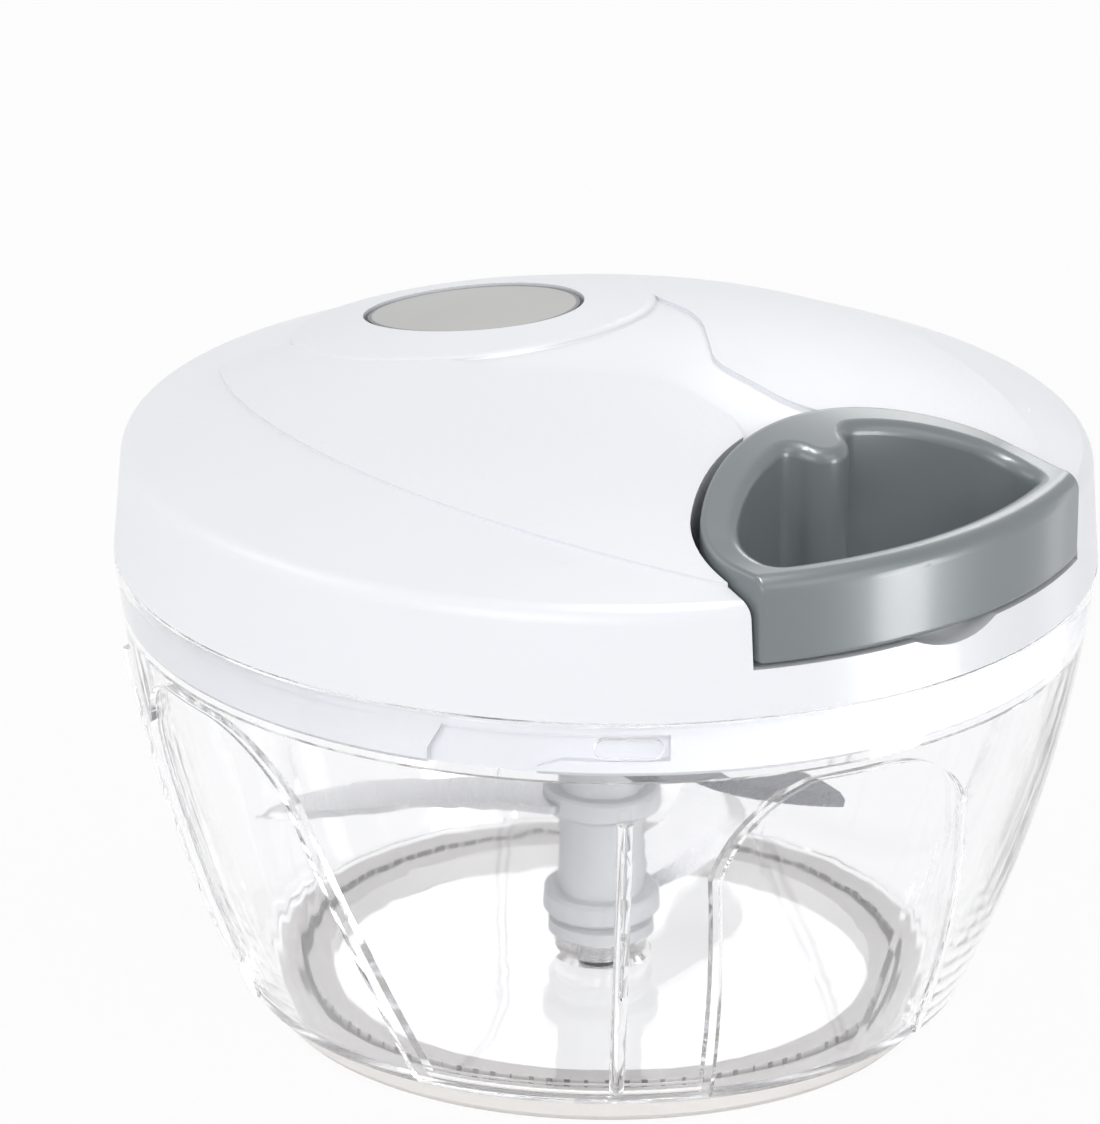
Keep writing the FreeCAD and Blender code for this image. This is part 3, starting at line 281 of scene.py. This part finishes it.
def plate_finish(finishes):
    """Grey oval plate, with a painted shade line round its edge that stands for the shadow in the gap round the plate.
    """
    material = moulded("Oval plate", finishes.badge, 0.26, 0.36, 0.0005, 0.00002, 0.06)
    tree = material.node_tree
    shader = tree.nodes["Principled BSDF"]
    where = add(tree, "ShaderNodeTexCoord").outputs["Object"]
    centre = add(tree, "ShaderNodeVectorMath", {"operation": "SUBTRACT"}, i0=where, i1=(0, 0, (88.3 - 145.0) * MM)).outputs[0]
    tilt = math.asin(24.7 / 145.0)
    along = add(tree, "ShaderNodeVectorMath", {"operation": "DOT_PRODUCT"}, i0=centre, i1=(math.cos(tilt), 0, math.sin(tilt))).outputs["Value"]
    across = add(tree, "ShaderNodeSeparateXYZ", i0=where).outputs[1]
    flat = add(tree, "ShaderNodeCombineXYZ", X=math_node(tree, "DIVIDE", along, 14.6 * MM), Y=math_node(tree, "DIVIDE", across, 12.6 * MM)).outputs[0]
    reach = add(tree, "ShaderNodeVectorMath", {"operation": "LENGTH"}, i0=flat).outputs["Value"]
    # Painted shade: a near-black ring just inside the plate's edge, in place of the shadow in the gap round the plate.
    painted_gap_shade = remap(tree, reach, 0.956, 0.974, 0.0, 0.85)
    plain = shader.inputs["Base Color"].links[0].from_socket
    tint = add(tree, "ShaderNodeMix", {"data_type": "RGBA"}, i0=painted_gap_shade, i6=plain, i7=(0.05, 0.055, 0.06, 1))
    tree.links.new(tint.outputs[2], shader.inputs["Base Color"])
    return material


def clear_finish(finishes):
    """Clear bowl: hard moulded plastic with a slight cool tint and faint flow in its surface."""
    material, tree, shader = finish_shell("Clear bowl")
    shader.inputs["Base Color"].default_value = (*finishes.clear, 1)
    shader.inputs["Transmission Weight"].default_value = 1.0
    shader.inputs["IOR"].default_value = 1.5
    tree.links.new(remap(tree, noise(tree, 60.0, 2.0), 0.3, 0.7, 0.02, 0.05), shader.inputs["Roughness"])
    shaped(tree, shader, math_node(tree, "MULTIPLY", noise(tree, 45.0, 1.0), 0.00006))
    through = add(tree, "ShaderNodeBsdfTransparent", Color=(0.97, 0.97, 0.975, 1))
    mix = add(tree, "ShaderNodeMixShader", i0=add(tree, "ShaderNodeLightPath").outputs["Is Shadow Ray"])
    tree.links.new(shader.outputs[0], mix.inputs[1])
    tree.links.new(through.outputs[0], mix.inputs[2])
    tree.links.new(mix.outputs[0], tree.nodes["Material Output"].inputs["Surface"])
    return material


def steel_finish(name, shade, fine):
    material, tree, shader = finish_shell(name)
    shader.inputs["Metallic"].default_value = 1.0
    shader.inputs["Base Color"].default_value = (*shade, 1)
    lines = effect(tree, "Ground lines", Fine=fine)
    tree.links.new(lines.outputs["Roughness"], shader.inputs["Roughness"])
    shaped(tree, shader, lines.outputs["Height"])
    return material


def cord_finish(finishes):
    """Braided cord, with its shade in the gaps between the strands."""
    material, tree, shader = finish_shell("Braided cord")
    braid = effect(tree, "Braid")
    dark = tuple(0.55 * c for c in finishes.cord)
    tint = add(tree, "ShaderNodeMix", {"data_type": "RGBA"}, i0=braid.outputs["Shade"], i6=(*dark, 1), i7=(*finishes.cord, 1))
    tree.links.new(tint.outputs[2], shader.inputs["Base Color"])
    shader.inputs["Roughness"].default_value = 0.75
    shader.inputs["Sheen Weight"].default_value = 0.3
    shaped(tree, shader, braid.outputs["Height"])
    return material


def material_of(name):
    """The finish of that name, made when it is first asked for."""
    if name in bpy.data.materials and name in MAKERS:
        return bpy.data.materials[name]
    finishes = bpy.context.scene.chopper_finishes
    return MAKERS[name](finishes)


MAKERS = {
    "White cover": cover_finish,
    "Clear bowl": clear_finish,
    "Braided cord": cord_finish,
    "White skirt": lambda f: moulded("White skirt", f.cover, 0.30, 0.42, 0.0006, 0.00002, 0.04),
    "Foot ring": lambda f: moulded("Foot ring", f.ring, 0.48, 0.62, 0.0005, 0.00004, 0.06, ior=1.45, subsurface=0.15),
    "Oval plate": plate_finish,
    "Grey handle": lambda f: moulded("Grey handle", f.handle, 0.3, 0.38, 0.0009, 0.000003, 0.06, 0.25, 0.16),
    "Inner mouldings": lambda f: moulded("Inner mouldings", f.inner, 0.32, 0.46, 0.0006, 0.00003, 0.06),
    "Blade steel": lambda f: steel_finish("Blade steel", f.steel, 5000.0),
    "Turned steel": lambda f: steel_finish("Turned steel", f.steel, 9000.0),
    "Spring steel": lambda f: steel_finish("Spring steel", (0.42, 0.43, 0.46), 9000.0),
}


def dress(finish_name, *nodes):
    """Gives CAD nodes a finish through their own material slots."""
    material = material_of(finish_name)
    for name in nodes:
        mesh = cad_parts[name].data
        for number in range(len(mesh.materials)):
            mesh.materials[number] = material
        if not mesh.materials:
            mesh.materials.append(material)


# Geometry Nodes

def new_geometry(name, takes):
    tree = bpy.data.node_groups.new(name, "GeometryNodeTree")
    tree.interface.new_socket("Geometry", in_out="INPUT", socket_type="NodeSocketGeometry")
    for label, kind, default in takes:
        socket = tree.interface.new_socket(label, in_out="INPUT", socket_type=kind)
        if default is not None:
            socket.default_value = default
    tree.interface.new_socket("Geometry", in_out="OUTPUT", socket_type="NodeSocketGeometry")
    return tree, tree.nodes.new("NodeGroupInput"), tree.nodes.new("NodeGroupOutput")


def closing(tree, geometry, material, given):
    """Ends a tree with Realize Instances and Set Material."""
    real = add(tree, "GeometryNodeRealizeInstances", Geometry=geometry).outputs[0]
    smooth = add(tree, "GeometryNodeSetShadeSmooth", i0=real).outputs[0]
    last = add(tree, "GeometryNodeSetMaterial", Geometry=smooth, Material=material).outputs[0]
    tree.links.new(last, given.inputs["Geometry"])


def tube(tree, curve, thick, sides=14):
    """A tube on a curve that carries its own directions for a braid."""
    length_on = add(tree, "GeometryNodeSplineParameter").outputs["Length"]
    curve = add(tree, "GeometryNodeStoreNamedAttribute", {"data_type": "FLOAT", "domain": "POINT"}, Geometry=curve, Name="along", Value=length_on).outputs[0]
    ring = add(tree, "GeometryNodeCurvePrimitiveCircle", Resolution=sides, Radius=thick).outputs[0]
    place = add(tree, "GeometryNodeInputPosition").outputs[0]
    ring = add(tree, "GeometryNodeStoreNamedAttribute", {"data_type": "FLOAT_VECTOR", "domain": "POINT"}, Geometry=ring, Name="across", Value=place).outputs[0]
    return add(tree, "GeometryNodeCurveToMesh", Curve=curve, Profile_Curve=ring, Fill_Caps=True).outputs[0]


def made_with(name, tree, values, data=None):
    """Runs a tree on an object with these input values and keeps the plain mesh that comes out."""
    source = bpy.data.objects.new(name + "_source", data or bpy.data.meshes.new(name + "_source"))
    bpy.context.scene.collection.objects.link(source)
    modifier = source.modifiers.new(name, "NODES")
    modifier.node_group = tree
    sockets = {item.name: item.identifier for item in tree.interface.items_tree if item.in_out == "INPUT"}
    for label, value in values.items():
        modifier[sockets[label]] = value
    bpy.context.view_layer.update()
    evaluated = source.evaluated_get(bpy.context.evaluated_depsgraph_get())
    mesh = bpy.data.meshes.new_from_object(evaluated)
    mesh.name = name
    piece = bpy.data.objects.new(name, mesh)
    bpy.context.scene.collection.objects.link(piece)
    bpy.data.objects.remove(source)
    if not mesh.polygons:
        raise RuntimeError(name + " came out empty")
    return piece


def screw_tree():
    """Screws at the given points, each turned by chance about its own axis."""
    tree, taken, given = new_geometry("Screws on seats", [
        ("Screw", "NodeSocketObject", None), ("Size", "NodeSocketFloat", 1.0), ("Seed", "NodeSocketInt", 3), ("Finish", "NodeSocketMaterial", None)])
    shape = add(tree, "GeometryNodeObjectInfo", {"transform_space": "ORIGINAL"}, Object=taken.outputs["Screw"])
    chance = add(tree, "FunctionNodeRandomValue", {"data_type": "FLOAT"}, Seed=taken.outputs["Seed"])
    chance.inputs[3].default_value = 2 * math.pi
    turn = add(tree, "ShaderNodeCombineXYZ", Z=chance.outputs[1]).outputs[0]
    spots = add(tree, "GeometryNodeInstanceOnPoints", Points=taken.outputs["Geometry"], Instance=shape.outputs["Geometry"], Rotation=turn, Scale=taken.outputs["Size"]).outputs[0]
    closing(tree, spots, taken.outputs["Finish"], given)
    return tree


def winding_tree():
    """Cord wound on a drum."""
    tree, taken, given = new_geometry("Wound cord", [
        ("Radius", "NodeSocketFloat", 0.018), ("Turns", "NodeSocketFloat", 4.0), ("Pitch", "NodeSocketFloat", 0.0022),
        ("Low", "NodeSocketFloat", 0.067), ("Start", "NodeSocketFloat", 0.0), ("Thickness", "NodeSocketFloat", 0.00085), ("Finish", "NodeSocketMaterial", None)])
    rise = math_node(tree, "MULTIPLY", taken.outputs["Turns"], taken.outputs["Pitch"])
    coil = add(tree, "GeometryNodeCurveSpiral", Resolution=72, Rotations=taken.outputs["Turns"], Start_Radius=taken.outputs["Radius"],
               End_Radius=taken.outputs["Radius"], Height=rise, Reverse=True).outputs[0]
    lift = add(tree, "ShaderNodeCombineXYZ", Z=taken.outputs["Low"]).outputs[0]
    turn = add(tree, "ShaderNodeCombineXYZ", Z=taken.outputs["Start"]).outputs[0]
    coil = add(tree, "GeometryNodeTransform", Geometry=coil, Translation=lift, Rotation=turn).outputs[0]
    closing(tree, tube(tree, coil, taken.outputs["Thickness"]), taken.outputs["Finish"], given)
    return tree


def spring_tree():
    """Flat strip wound as a spiral."""
    tree, taken, given = new_geometry("Wound strip", [
        ("Inner", "NodeSocketFloat", 0.0048), ("Outer", "NodeSocketFloat", 0.01525), ("Turns", "NodeSocketFloat", 7.0),
        ("Low", "NodeSocketFloat", 0.0717), ("Thickness", "NodeSocketFloat", 0.00045), ("Height", "NodeSocketFloat", 0.005), ("Finish", "NodeSocketMaterial", None)])
    coil = add(tree, "GeometryNodeCurveSpiral", Resolution=72, Rotations=taken.outputs["Turns"], Start_Radius=taken.outputs["Inner"],
               End_Radius=taken.outputs["Outer"], Height=0.0, Reverse=False).outputs[0]
    middle = math_node(tree, "MULTIPLY_ADD", taken.outputs["Height"], 0.5, taken.outputs["Low"])
    coil = add(tree, "GeometryNodeTransform", Geometry=coil, Translation=add(tree, "ShaderNodeCombineXYZ", Z=middle).outputs[0]).outputs[0]
    strip = add(tree, "GeometryNodeCurvePrimitiveQuadrilateral", {"mode": "RECTANGLE"}, Width=taken.outputs["Thickness"], Height=taken.outputs["Height"]).outputs[0]
    upright = add(tree, "GeometryNodeSetCurveNormal", {"mode": "Z_UP"}, Curve=coil).outputs[0]
    mesh = add(tree, "GeometryNodeCurveToMesh", Curve=upright, Profile_Curve=strip, Fill_Caps=True).outputs[0]
    flat = add(tree, "GeometryNodeRealizeInstances", Geometry=mesh).outputs[0]
    tree.links.new(add(tree, "GeometryNodeSetMaterial", Geometry=flat, Material=taken.outputs["Finish"]).outputs[0], given.inputs["Geometry"])
    return tree


def cord_tree():
    """A tube on the object's own curve."""
    tree, taken, given = new_geometry("Cord on its way", [
        ("Step", "NodeSocketFloat", 0.0004), ("Thickness", "NodeSocketFloat", 0.00085), ("Finish", "NodeSocketMaterial", None)])
    even = add(tree, "GeometryNodeResampleCurve", {"mode": "LENGTH"}, Curve=taken.outputs["Geometry"], Length=taken.outputs["Step"]).outputs[0]
    closing(tree, tube(tree, even, taken.outputs["Thickness"]), taken.outputs["Finish"], given)
    return tree


def smooth_way(name, points, closed=False):
    """A smooth NURBS curve on these control points."""
    data = bpy.data.curves.new(name, "CURVE")
    data.dimensions = "3D"
    data.resolution_u = 24
    spline = data.splines.new("NURBS")
    spline.points.add(len(points) - 1)
    for point, place in zip(spline.points, points):
        point.co = (*place, 1)
    spline.order_u = 3
    spline.use_endpoint_u = not closed
    spline.use_cyclic_u = closed
    return data


def spun(name, profile, steps=48):
    """A mesh turned about Z from (radius, height) pairs, closed where the radius is 0."""
    mesh = bmesh.new()
    rings = []
    for radius, height in profile:
        if radius < 1e-9:
            rings.append([mesh.verts.new((0, 0, height))])
        else:
            rings.append([mesh.verts.new((radius * math.cos(2 * math.pi * k / steps), radius * math.sin(2 * math.pi * k / steps), height)) for k in range(steps)])
    for first, second in zip(rings, rings[1:]):
        for k in range(steps):
            corners = [first[k % len(first)], first[(k + 1) % steps % len(first)], second[(k + 1) % steps % len(second)], second[k % len(second)]]
            corners = list(dict.fromkeys(corners))
            if len(corners) > 2:
                mesh.faces.new(corners)
    bmesh.ops.recalc_face_normals(mesh, faces=mesh.faces)
    data = bpy.data.meshes.new(name)
    mesh.to_mesh(data)
    mesh.free()
    return data


def cut_from(data, *cutters):
    """Cuts meshes out of a mesh and returns the plain result."""
    body = bpy.data.objects.new("cut_body", data)
    bpy.context.scene.collection.objects.link(body)
    helpers = []
    for cutter in cutters:
        helper = bpy.data.objects.new("cut_tool", cutter)
        bpy.context.scene.collection.objects.link(helper)
        modifier = body.modifiers.new("Cut", "BOOLEAN")
        modifier.operation = "DIFFERENCE"
        modifier.solver = "EXACT"
        modifier.object = helper
        helpers.append(helper)
    bpy.context.view_layer.update()
    result = bpy.data.meshes.new_from_object(body.evaluated_get(bpy.context.evaluated_depsgraph_get()))
    for item in [body, *helpers]:
        bpy.data.objects.remove(item)
    return result


def bar(wide, long, low, high, taper):
    """A tapered bar along X for a cross recess."""
    mesh = bmesh.new()
    rings = []
    for height, w, l in ((low, wide * taper, long * taper), (high, wide, long)):
        rings.append([mesh.verts.new((x * l / 2, y * w / 2, height)) for x, y in ((-1, -1), (1, -1), (1, 1), (-1, 1))])
    mesh.faces.new(rings[0][::-1])
    mesh.faces.new(rings[1])
    for k in range(4):
        mesh.faces.new((rings[0][k], rings[0][(k + 1) % 4], rings[1][(k + 1) % 4], rings[1][k]))
    data = bpy.data.meshes.new("bar")
    mesh.to_mesh(data)
    mesh.free()
    return data


def screw_shape(name, shank, head, high, long):
    """Pan-head screw with a cross recess, head up, its seat at the origin."""
    profile = [(0, -long), (shank * 0.55, -long), (shank, -long + shank), (shank, 0), (head, 0), (head, high * 0.45)]
    profile += [(head - (head * 0.22) * (1 - math.cos(a)), high * (0.45 + 0.55 * math.sin(a))) for a in (0.5, 1.0, 1.57)]
    profile.append((0, high * 1.02))
    body = spun(name, profile, 32)
    turned_bar = bar(head * 0.36, head * 1.25, high * 0.3, high * 1.5, 0.6)
    turned_bar.transform(Matrix.Rotation(math.pi / 2, 4, "Z"))
    return cut_from(body, bar(head * 0.36, head * 1.25, high * 0.3, high * 1.5, 0.6), turned_bar)


def screws_at(name, node, body, spots, seat, up, shank, head, high, long, seed):
    """The screws of one CAD node, as one piece."""
    shape = screw_shape(name + "_shape", shank, head, high, long)
    if up < 0:
        shape.transform(Matrix.Rotation(math.pi, 4, "X"))
    template = bpy.data.objects.new(name + "_shape", shape)
    bpy.context.scene.collection.objects.link(template)
    seats = bpy.data.meshes.new(name + "_seats")
    seats.from_pydata([(x, y, seat) for x, y in spots], [], [])
    tree = bpy.data.node_groups.get("Screws on seats") or screw_tree()
    piece = made_with(name, tree, {"Screw": template, "Size": 1.0, "Seed": seed, "Finish": material_of("Turned steel")}, seats)
    bpy.data.objects.remove(template)
    for polygon in piece.data.polygons:
        polygon.use_smooth = False
    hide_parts(node)
    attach(piece, body)


def ring_spots(reach, turns):
    return [(reach * MM * math.cos(math.radians(t)), reach * MM * math.sin(math.radians(t))) for t in turns]


# Operators, one for each piece or group of like pieces

class PieceOperator(bpy.types.Operator):
    bl_options = {"REGISTER", "UNDO"}

    def execute(self, context):
        self.make(context.scene.chopper_finishes, context.scene.chopper_sizes)
        return {"FINISHED"}


class CHOPPER_OT_bowl(PieceOperator):
    """Clear bowl with its steel pin and soft foot ring"""
    bl_idname = "chopper.bowl"
    bl_label = "Bowl and foot ring"

    def make(self, finishes, sizes):
        dress("Clear bowl", "bowl")
        dress("Foot ring", "foot_ring")
        dress("Turned steel", "pivot_pin")


class CHOPPER_OT_blades(PieceOperator):
    """Blades and the spindle that holds them"""
    bl_idname = "chopper.blades"
    bl_label = "Blades"

    def make(self, finishes, sizes):
        dress("Blade steel", "blade_lower", "blade_middle", "blade_upper")
        dress("Inner mouldings", "blade_spindle")


class CHOPPER_OT_lid(PieceOperator):
    """Domed cover, oval plate and the skirt below them"""
    bl_idname = "chopper.lid"
    bl_label = "Lid"

    def make(self, finishes, sizes):
        dress("White cover", "top_cover")
        dress("White skirt", "base_plate")
        dress("Oval plate", "badge_plate")


class CHOPPER_OT_handle(PieceOperator):
    """Pull handle and the eyelet behind it"""
    bl_idname = "chopper.handle"
    bl_label = "Handle"

    def make(self, finishes, sizes):
        dress("Grey handle", "pull_handle")
        dress("Inner mouldings", "cord_eyelet")


class CHOPPER_OT_drive(PieceOperator):
    """Shaft, pawls, reel, arbor and housing"""
    bl_idname = "chopper.drive"
    bl_label = "Drive"

    def make(self, finishes, sizes):
        dress("Inner mouldings", "shaft_bush", "drive_shaft", "pawl_left", "pawl_right", "cord_reel", "reel_housing", "reel_arbor", "spring_cover")
        dress("Turned steel", "arbor_screw", "arbor_washer")


class CHOPPER_OT_spring(PieceOperator):
    """Flat spiral spring in the reel"""
    bl_idname = "chopper.spring"
    bl_label = "Power spring"

    def make(self, finishes, sizes):
        piece = made_with("wound_spring", spring_tree(), {
            "Inner": sizes.spring_inner, "Outer": sizes.spring_outer, "Turns": sizes.spring_turns, "Low": 71.7 * MM,
            "Thickness": sizes.spring_thick, "Height": sizes.spring_tall, "Finish": material_of("Spring steel")})
        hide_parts("power_spring")
        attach(piece, "reel")


class CHOPPER_OT_cord(PieceOperator):
    """Cord on the drum, its way to the handle and its stopper knot"""
    bl_idname = "chopper.cord"
    bl_label = "Pull cord"

    def make(self, finishes, sizes):
        finish = material_of("Braided cord")
        bend, eye, level = 3.0, 29.5, 75.6
        way = math.hypot(eye, bend)
        sine = (sizes.wind_radius / MM + bend) / way
        cosine = math.sqrt(1 - sine * sine)
        head = Vector(((eye * cosine + bend * sine) / way, (bend * cosine - eye * sine) / way))
        leave = math.atan2(head.x, -head.y)
        wound = made_with("wound_cord", winding_tree(), {
            "Radius": sizes.wind_radius, "Turns": float(sizes.wind_turns), "Pitch": sizes.wind_pitch, "Low": 67.35 * MM,
            "Start": leave, "Thickness": sizes.cord_radius, "Finish": finish})
        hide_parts("cord_winding")
        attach(wound, "reel")
        wind = sizes.wind_radius / MM
        tangent = Vector((-wind * head.y, wind * head.x))
        turn_in = Vector((eye, 0)) - Vector((1, 0)) * bend * math.tan(0.5 * math.acos(head.x))
        start, near = tangent + head * 9.6, turn_in - head * 1.2
        line = [start, start.lerp(near, 0.5), near, turn_in, Vector((eye, 0)) + Vector((0.2, 0)), Vector((31, 0)), Vector((33, 0)), Vector((35.2, 0))]
        route = smooth_way("cord_way", [Vector((p.x, p.y, level)) * MM for p in line])
        pulled = made_with("pull_cord", cord_tree(), {"Step": 0.0004, "Thickness": sizes.cord_radius, "Finish": finish}, route)
        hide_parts("cord_lead", "cord_end")
        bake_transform(pulled)
        knot = []
        for k in range(36):
            a = 2 * math.pi * k / 36
            knot.append(Vector((36.6 + 0.95 * math.sin(3 * a), 0.52 * (math.sin(a) + 2 * math.sin(2 * a)) * 0.82,
                                level + 0.52 * (math.cos(a) - 2 * math.cos(2 * a)) * 0.82)) * MM)
        tied = made_with("cord_stopper", bpy.data.node_groups["Cord on its way"], {"Step": 0.0003, "Thickness": 0.68 * MM, "Finish": finish},
                         smooth_way("knot_way", knot, True))
        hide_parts("cord_knot")
        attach(tied, "handle")


class CHOPPER_OT_screws(PieceOperator):
    """Screws of the housing and of the lid"""
    bl_idname = "chopper.screws"
    bl_label = "Screws"

    def make(self, finishes, sizes):
        screws_at("house_fixings", "housing_screws", "lid", ring_spots(30.0, (60, 180, 300)), 61.4 * MM, 1,
                  1.2 * MM, 2.3 * MM, 1.7 * MM, 6.2 * MM, 5)
        screws_at("lid_fixings", "cover_screws", "lid", ring_spots(50.0, (50, 130, 230, 310)), 57.6 * MM, -1,
                  1.5 * MM, 2.8 * MM, 1.7 * MM, 11.0 * MM, 9)


class CHOPPER_OT_stage(bpy.types.Operator):
    """Pale floor, white surroundings, soft lamps and the camera"""
    bl_idname = "chopper.stage"
    bl_label = "Stage"
    bl_options = {"REGISTER", "UNDO"}

    def execute(self, context):
        stage = context.scene.chopper_stage
        self.floor(stage)
        self.surroundings(stage)
        for name, power, place, size in (
            ("key_lamp", stage.key, (-0.62, -0.62, 0.72), (0.55, 0.45)),
            ("fill_lamp", stage.fill, (0.75, 0.15, 0.5), (0.5, 0.4)),
            ("top_lamp", stage.top, (0.05, 0.1, 0.95), (0.7, 0.55)),
            ("front_lamp", stage.front, (0.5, -0.95, 0.4), (0.7, 0.5)),
            ("back_lamp", stage.back, (-0.45, 0.55, 0.4), (0.5, 0.25)),
        ):
            self.lamp(name, power, place, size, (0, 0, 0.05))
        for name, share, place, size in (
            ("strip_right", 1.65, (0.17, 0.05, 0.052), (0.04, 0.086)),
            ("strip_far", 0.12, (0.07, 0.155, 0.04), (0.022, 0.11)),
            ("strip_over", 5.0, (0.09, -0.035, 0.3), (0.03, 0.12)),
            ("strip_back", 3.0, (-0.22, 0.42, 0.34), (0.16, 0.12)),
        ):
            strip = self.lamp(name, share * stage.gloss, place, size, (0.061, 0, 0.04))
            strip.visible_diffuse = False
        self.camera()
        context.scene.view_settings.view_transform = "Standard"
        context.scene.cycles.max_bounces = 64
        context.scene.cycles.glossy_bounces = 32
        context.scene.cycles.transmission_bounces = 64
        return {"FINISHED"}

    def seen(self, tree):
        """1 for what the camera sees directly, in gloss or through the clear bowl, 0 for what lights a dull surface."""
        path = add(tree, "ShaderNodeLightPath")
        some = math_node(tree, "MAXIMUM", path.outputs["Is Camera Ray"], path.outputs["Is Glossy Ray"])
        some = math_node(tree, "MAXIMUM", some, path.outputs["Is Transmission Ray"])
        return math_node(tree, "MULTIPLY", some, math_node(tree, "LESS_THAN", path.outputs["Diffuse Depth"], 0.5))

    def floor(self, stage):
        data = bpy.data.meshes.new("floor")
        reach = 4.0
        data.from_pydata([(-reach, -reach, 0), (reach, -reach, 0), (reach, reach, 0), (-reach, reach, 0)], [], [(0, 1, 2, 3)])
        floor = bpy.data.objects.new("floor", data)
        bpy.context.scene.collection.objects.link(floor)
        material, tree, shader = finish_shell("Pale floor")
        shader.inputs["Base Color"].default_value = (*stage.floor, 1)
        shader.inputs["Roughness"].default_value = 0.9
        shader.inputs["Specular IOR Level"].default_value = 0.0
        glow = add(tree, "ShaderNodeEmission", Color=(1, 1, 1, 1), Strength=1.0)
        mix = add(tree, "ShaderNodeMixShader", i0=math_node(tree, "MULTIPLY", self.seen(tree), 0.9))
        tree.links.new(shader.outputs[0], mix.inputs[1])
        tree.links.new(glow.outputs[0], mix.inputs[2])
        tree.links.new(mix.outputs[0], tree.nodes["Material Output"].inputs["Surface"])
        data.materials.append(material)

    def surroundings(self, stage):
        world = bpy.data.worlds.new("White room")
        world.use_nodes = True
        tree = world.node_tree
        back = tree.nodes["Background"]
        back.inputs["Color"].default_value = (1, 1, 1, 1)
        tree.links.new(remap(tree, self.seen(tree), 0, 1, stage.ambient, 1.0), back.inputs["Strength"])
        bpy.context.scene.world = world

    def lamp(self, name, power, place, size, at):
        data = bpy.data.lights.new(name, "AREA")
        data.energy = power
        data.shape = "RECTANGLE"
        data.size, data.size_y = size
        lamp = bpy.data.objects.new(name, data)
        lamp.location = place
        lamp.rotation_euler = (Vector(at) - Vector(place)).to_track_quat("-Z", "Y").to_euler()
        lamp.visible_camera = False
        bpy.context.scene.collection.objects.link(lamp)
        return lamp

    def camera(self):
        """The photograph's angle, distance and framing."""
        turn, lift, roll = math.radians(45.7), math.radians(20.58), math.radians(0.81)
        ahead = Vector((-math.sin(turn) * math.cos(lift), math.cos(turn) * math.cos(lift), -math.sin(lift)))
        right = Vector((math.cos(turn), math.sin(turn), 0))
        up = right.cross(ahead)
        right, up = right * math.cos(roll) + up * math.sin(roll), up * math.cos(roll) - right * math.sin(roll)
        data = bpy.data.cameras.new("camera")
        data.lens = 9000.0 / 1124.0 * 36.0
        data.shift_x = -(606.0 - 550.0) / 1124.0
        data.clip_start, data.clip_end = 0.05, 20.0
        camera = bpy.data.objects.new("camera", data)
        place = Vector((0, 0, 0.0429)) - ahead * 1.142 + right * 0.00024 + up * 0.0146
        camera.matrix_world = Matrix((
            (right.x, up.x, -ahead.x, place.x), (right.y, up.y, -ahead.y, place.y), (right.z, up.z, -ahead.z, place.z), (0, 0, 0, 1)))
        bpy.context.scene.collection.objects.link(camera)
        bpy.context.scene.camera = camera


OPERATORS = (CHOPPER_OT_bowl, CHOPPER_OT_blades, CHOPPER_OT_lid, CHOPPER_OT_handle, CHOPPER_OT_drive,
             CHOPPER_OT_spring, CHOPPER_OT_cord, CHOPPER_OT_screws, CHOPPER_OT_stage)


class CHOPPER_PT_panel(bpy.types.Panel):
    """Lists the chopper's pieces, sizes and finishes"""
    bl_idname = "CHOPPER_PT_panel"
    bl_label = "Pull-string chopper"
    bl_space_type = "VIEW_3D"
    bl_region_type = "UI"
    bl_category = "Chopper"

    def draw(self, context):
        for operator in OPERATORS:
            self.layout.operator(operator.bl_idname)
        for group in (context.scene.chopper_finishes, context.scene.chopper_sizes, context.scene.chopper_stage):
            box = self.layout.box()
            for name in group.__annotations__:
                box.prop(group, name)


CLASSES = (ChopperFinishes, ChopperSizes, ChopperStage, *OPERATORS, CHOPPER_PT_panel)


def register():
    for item in CLASSES:
        bpy.utils.register_class(item)
    bpy.types.Scene.chopper_finishes = PointerProperty(type=ChopperFinishes)
    bpy.types.Scene.chopper_sizes = PointerProperty(type=ChopperSizes)
    bpy.types.Scene.chopper_stage = PointerProperty(type=ChopperStage)


def unregister():
    del bpy.types.Scene.chopper_finishes, bpy.types.Scene.chopper_sizes, bpy.types.Scene.chopper_stage
    for item in reversed(CLASSES):
        bpy.utils.unregister_class(item)


def main():
    register()
    for operator in OPERATORS:
        getattr(bpy.ops.chopper, operator.bl_idname.split(".")[1])()


if __name__ == "__main__":
    main()
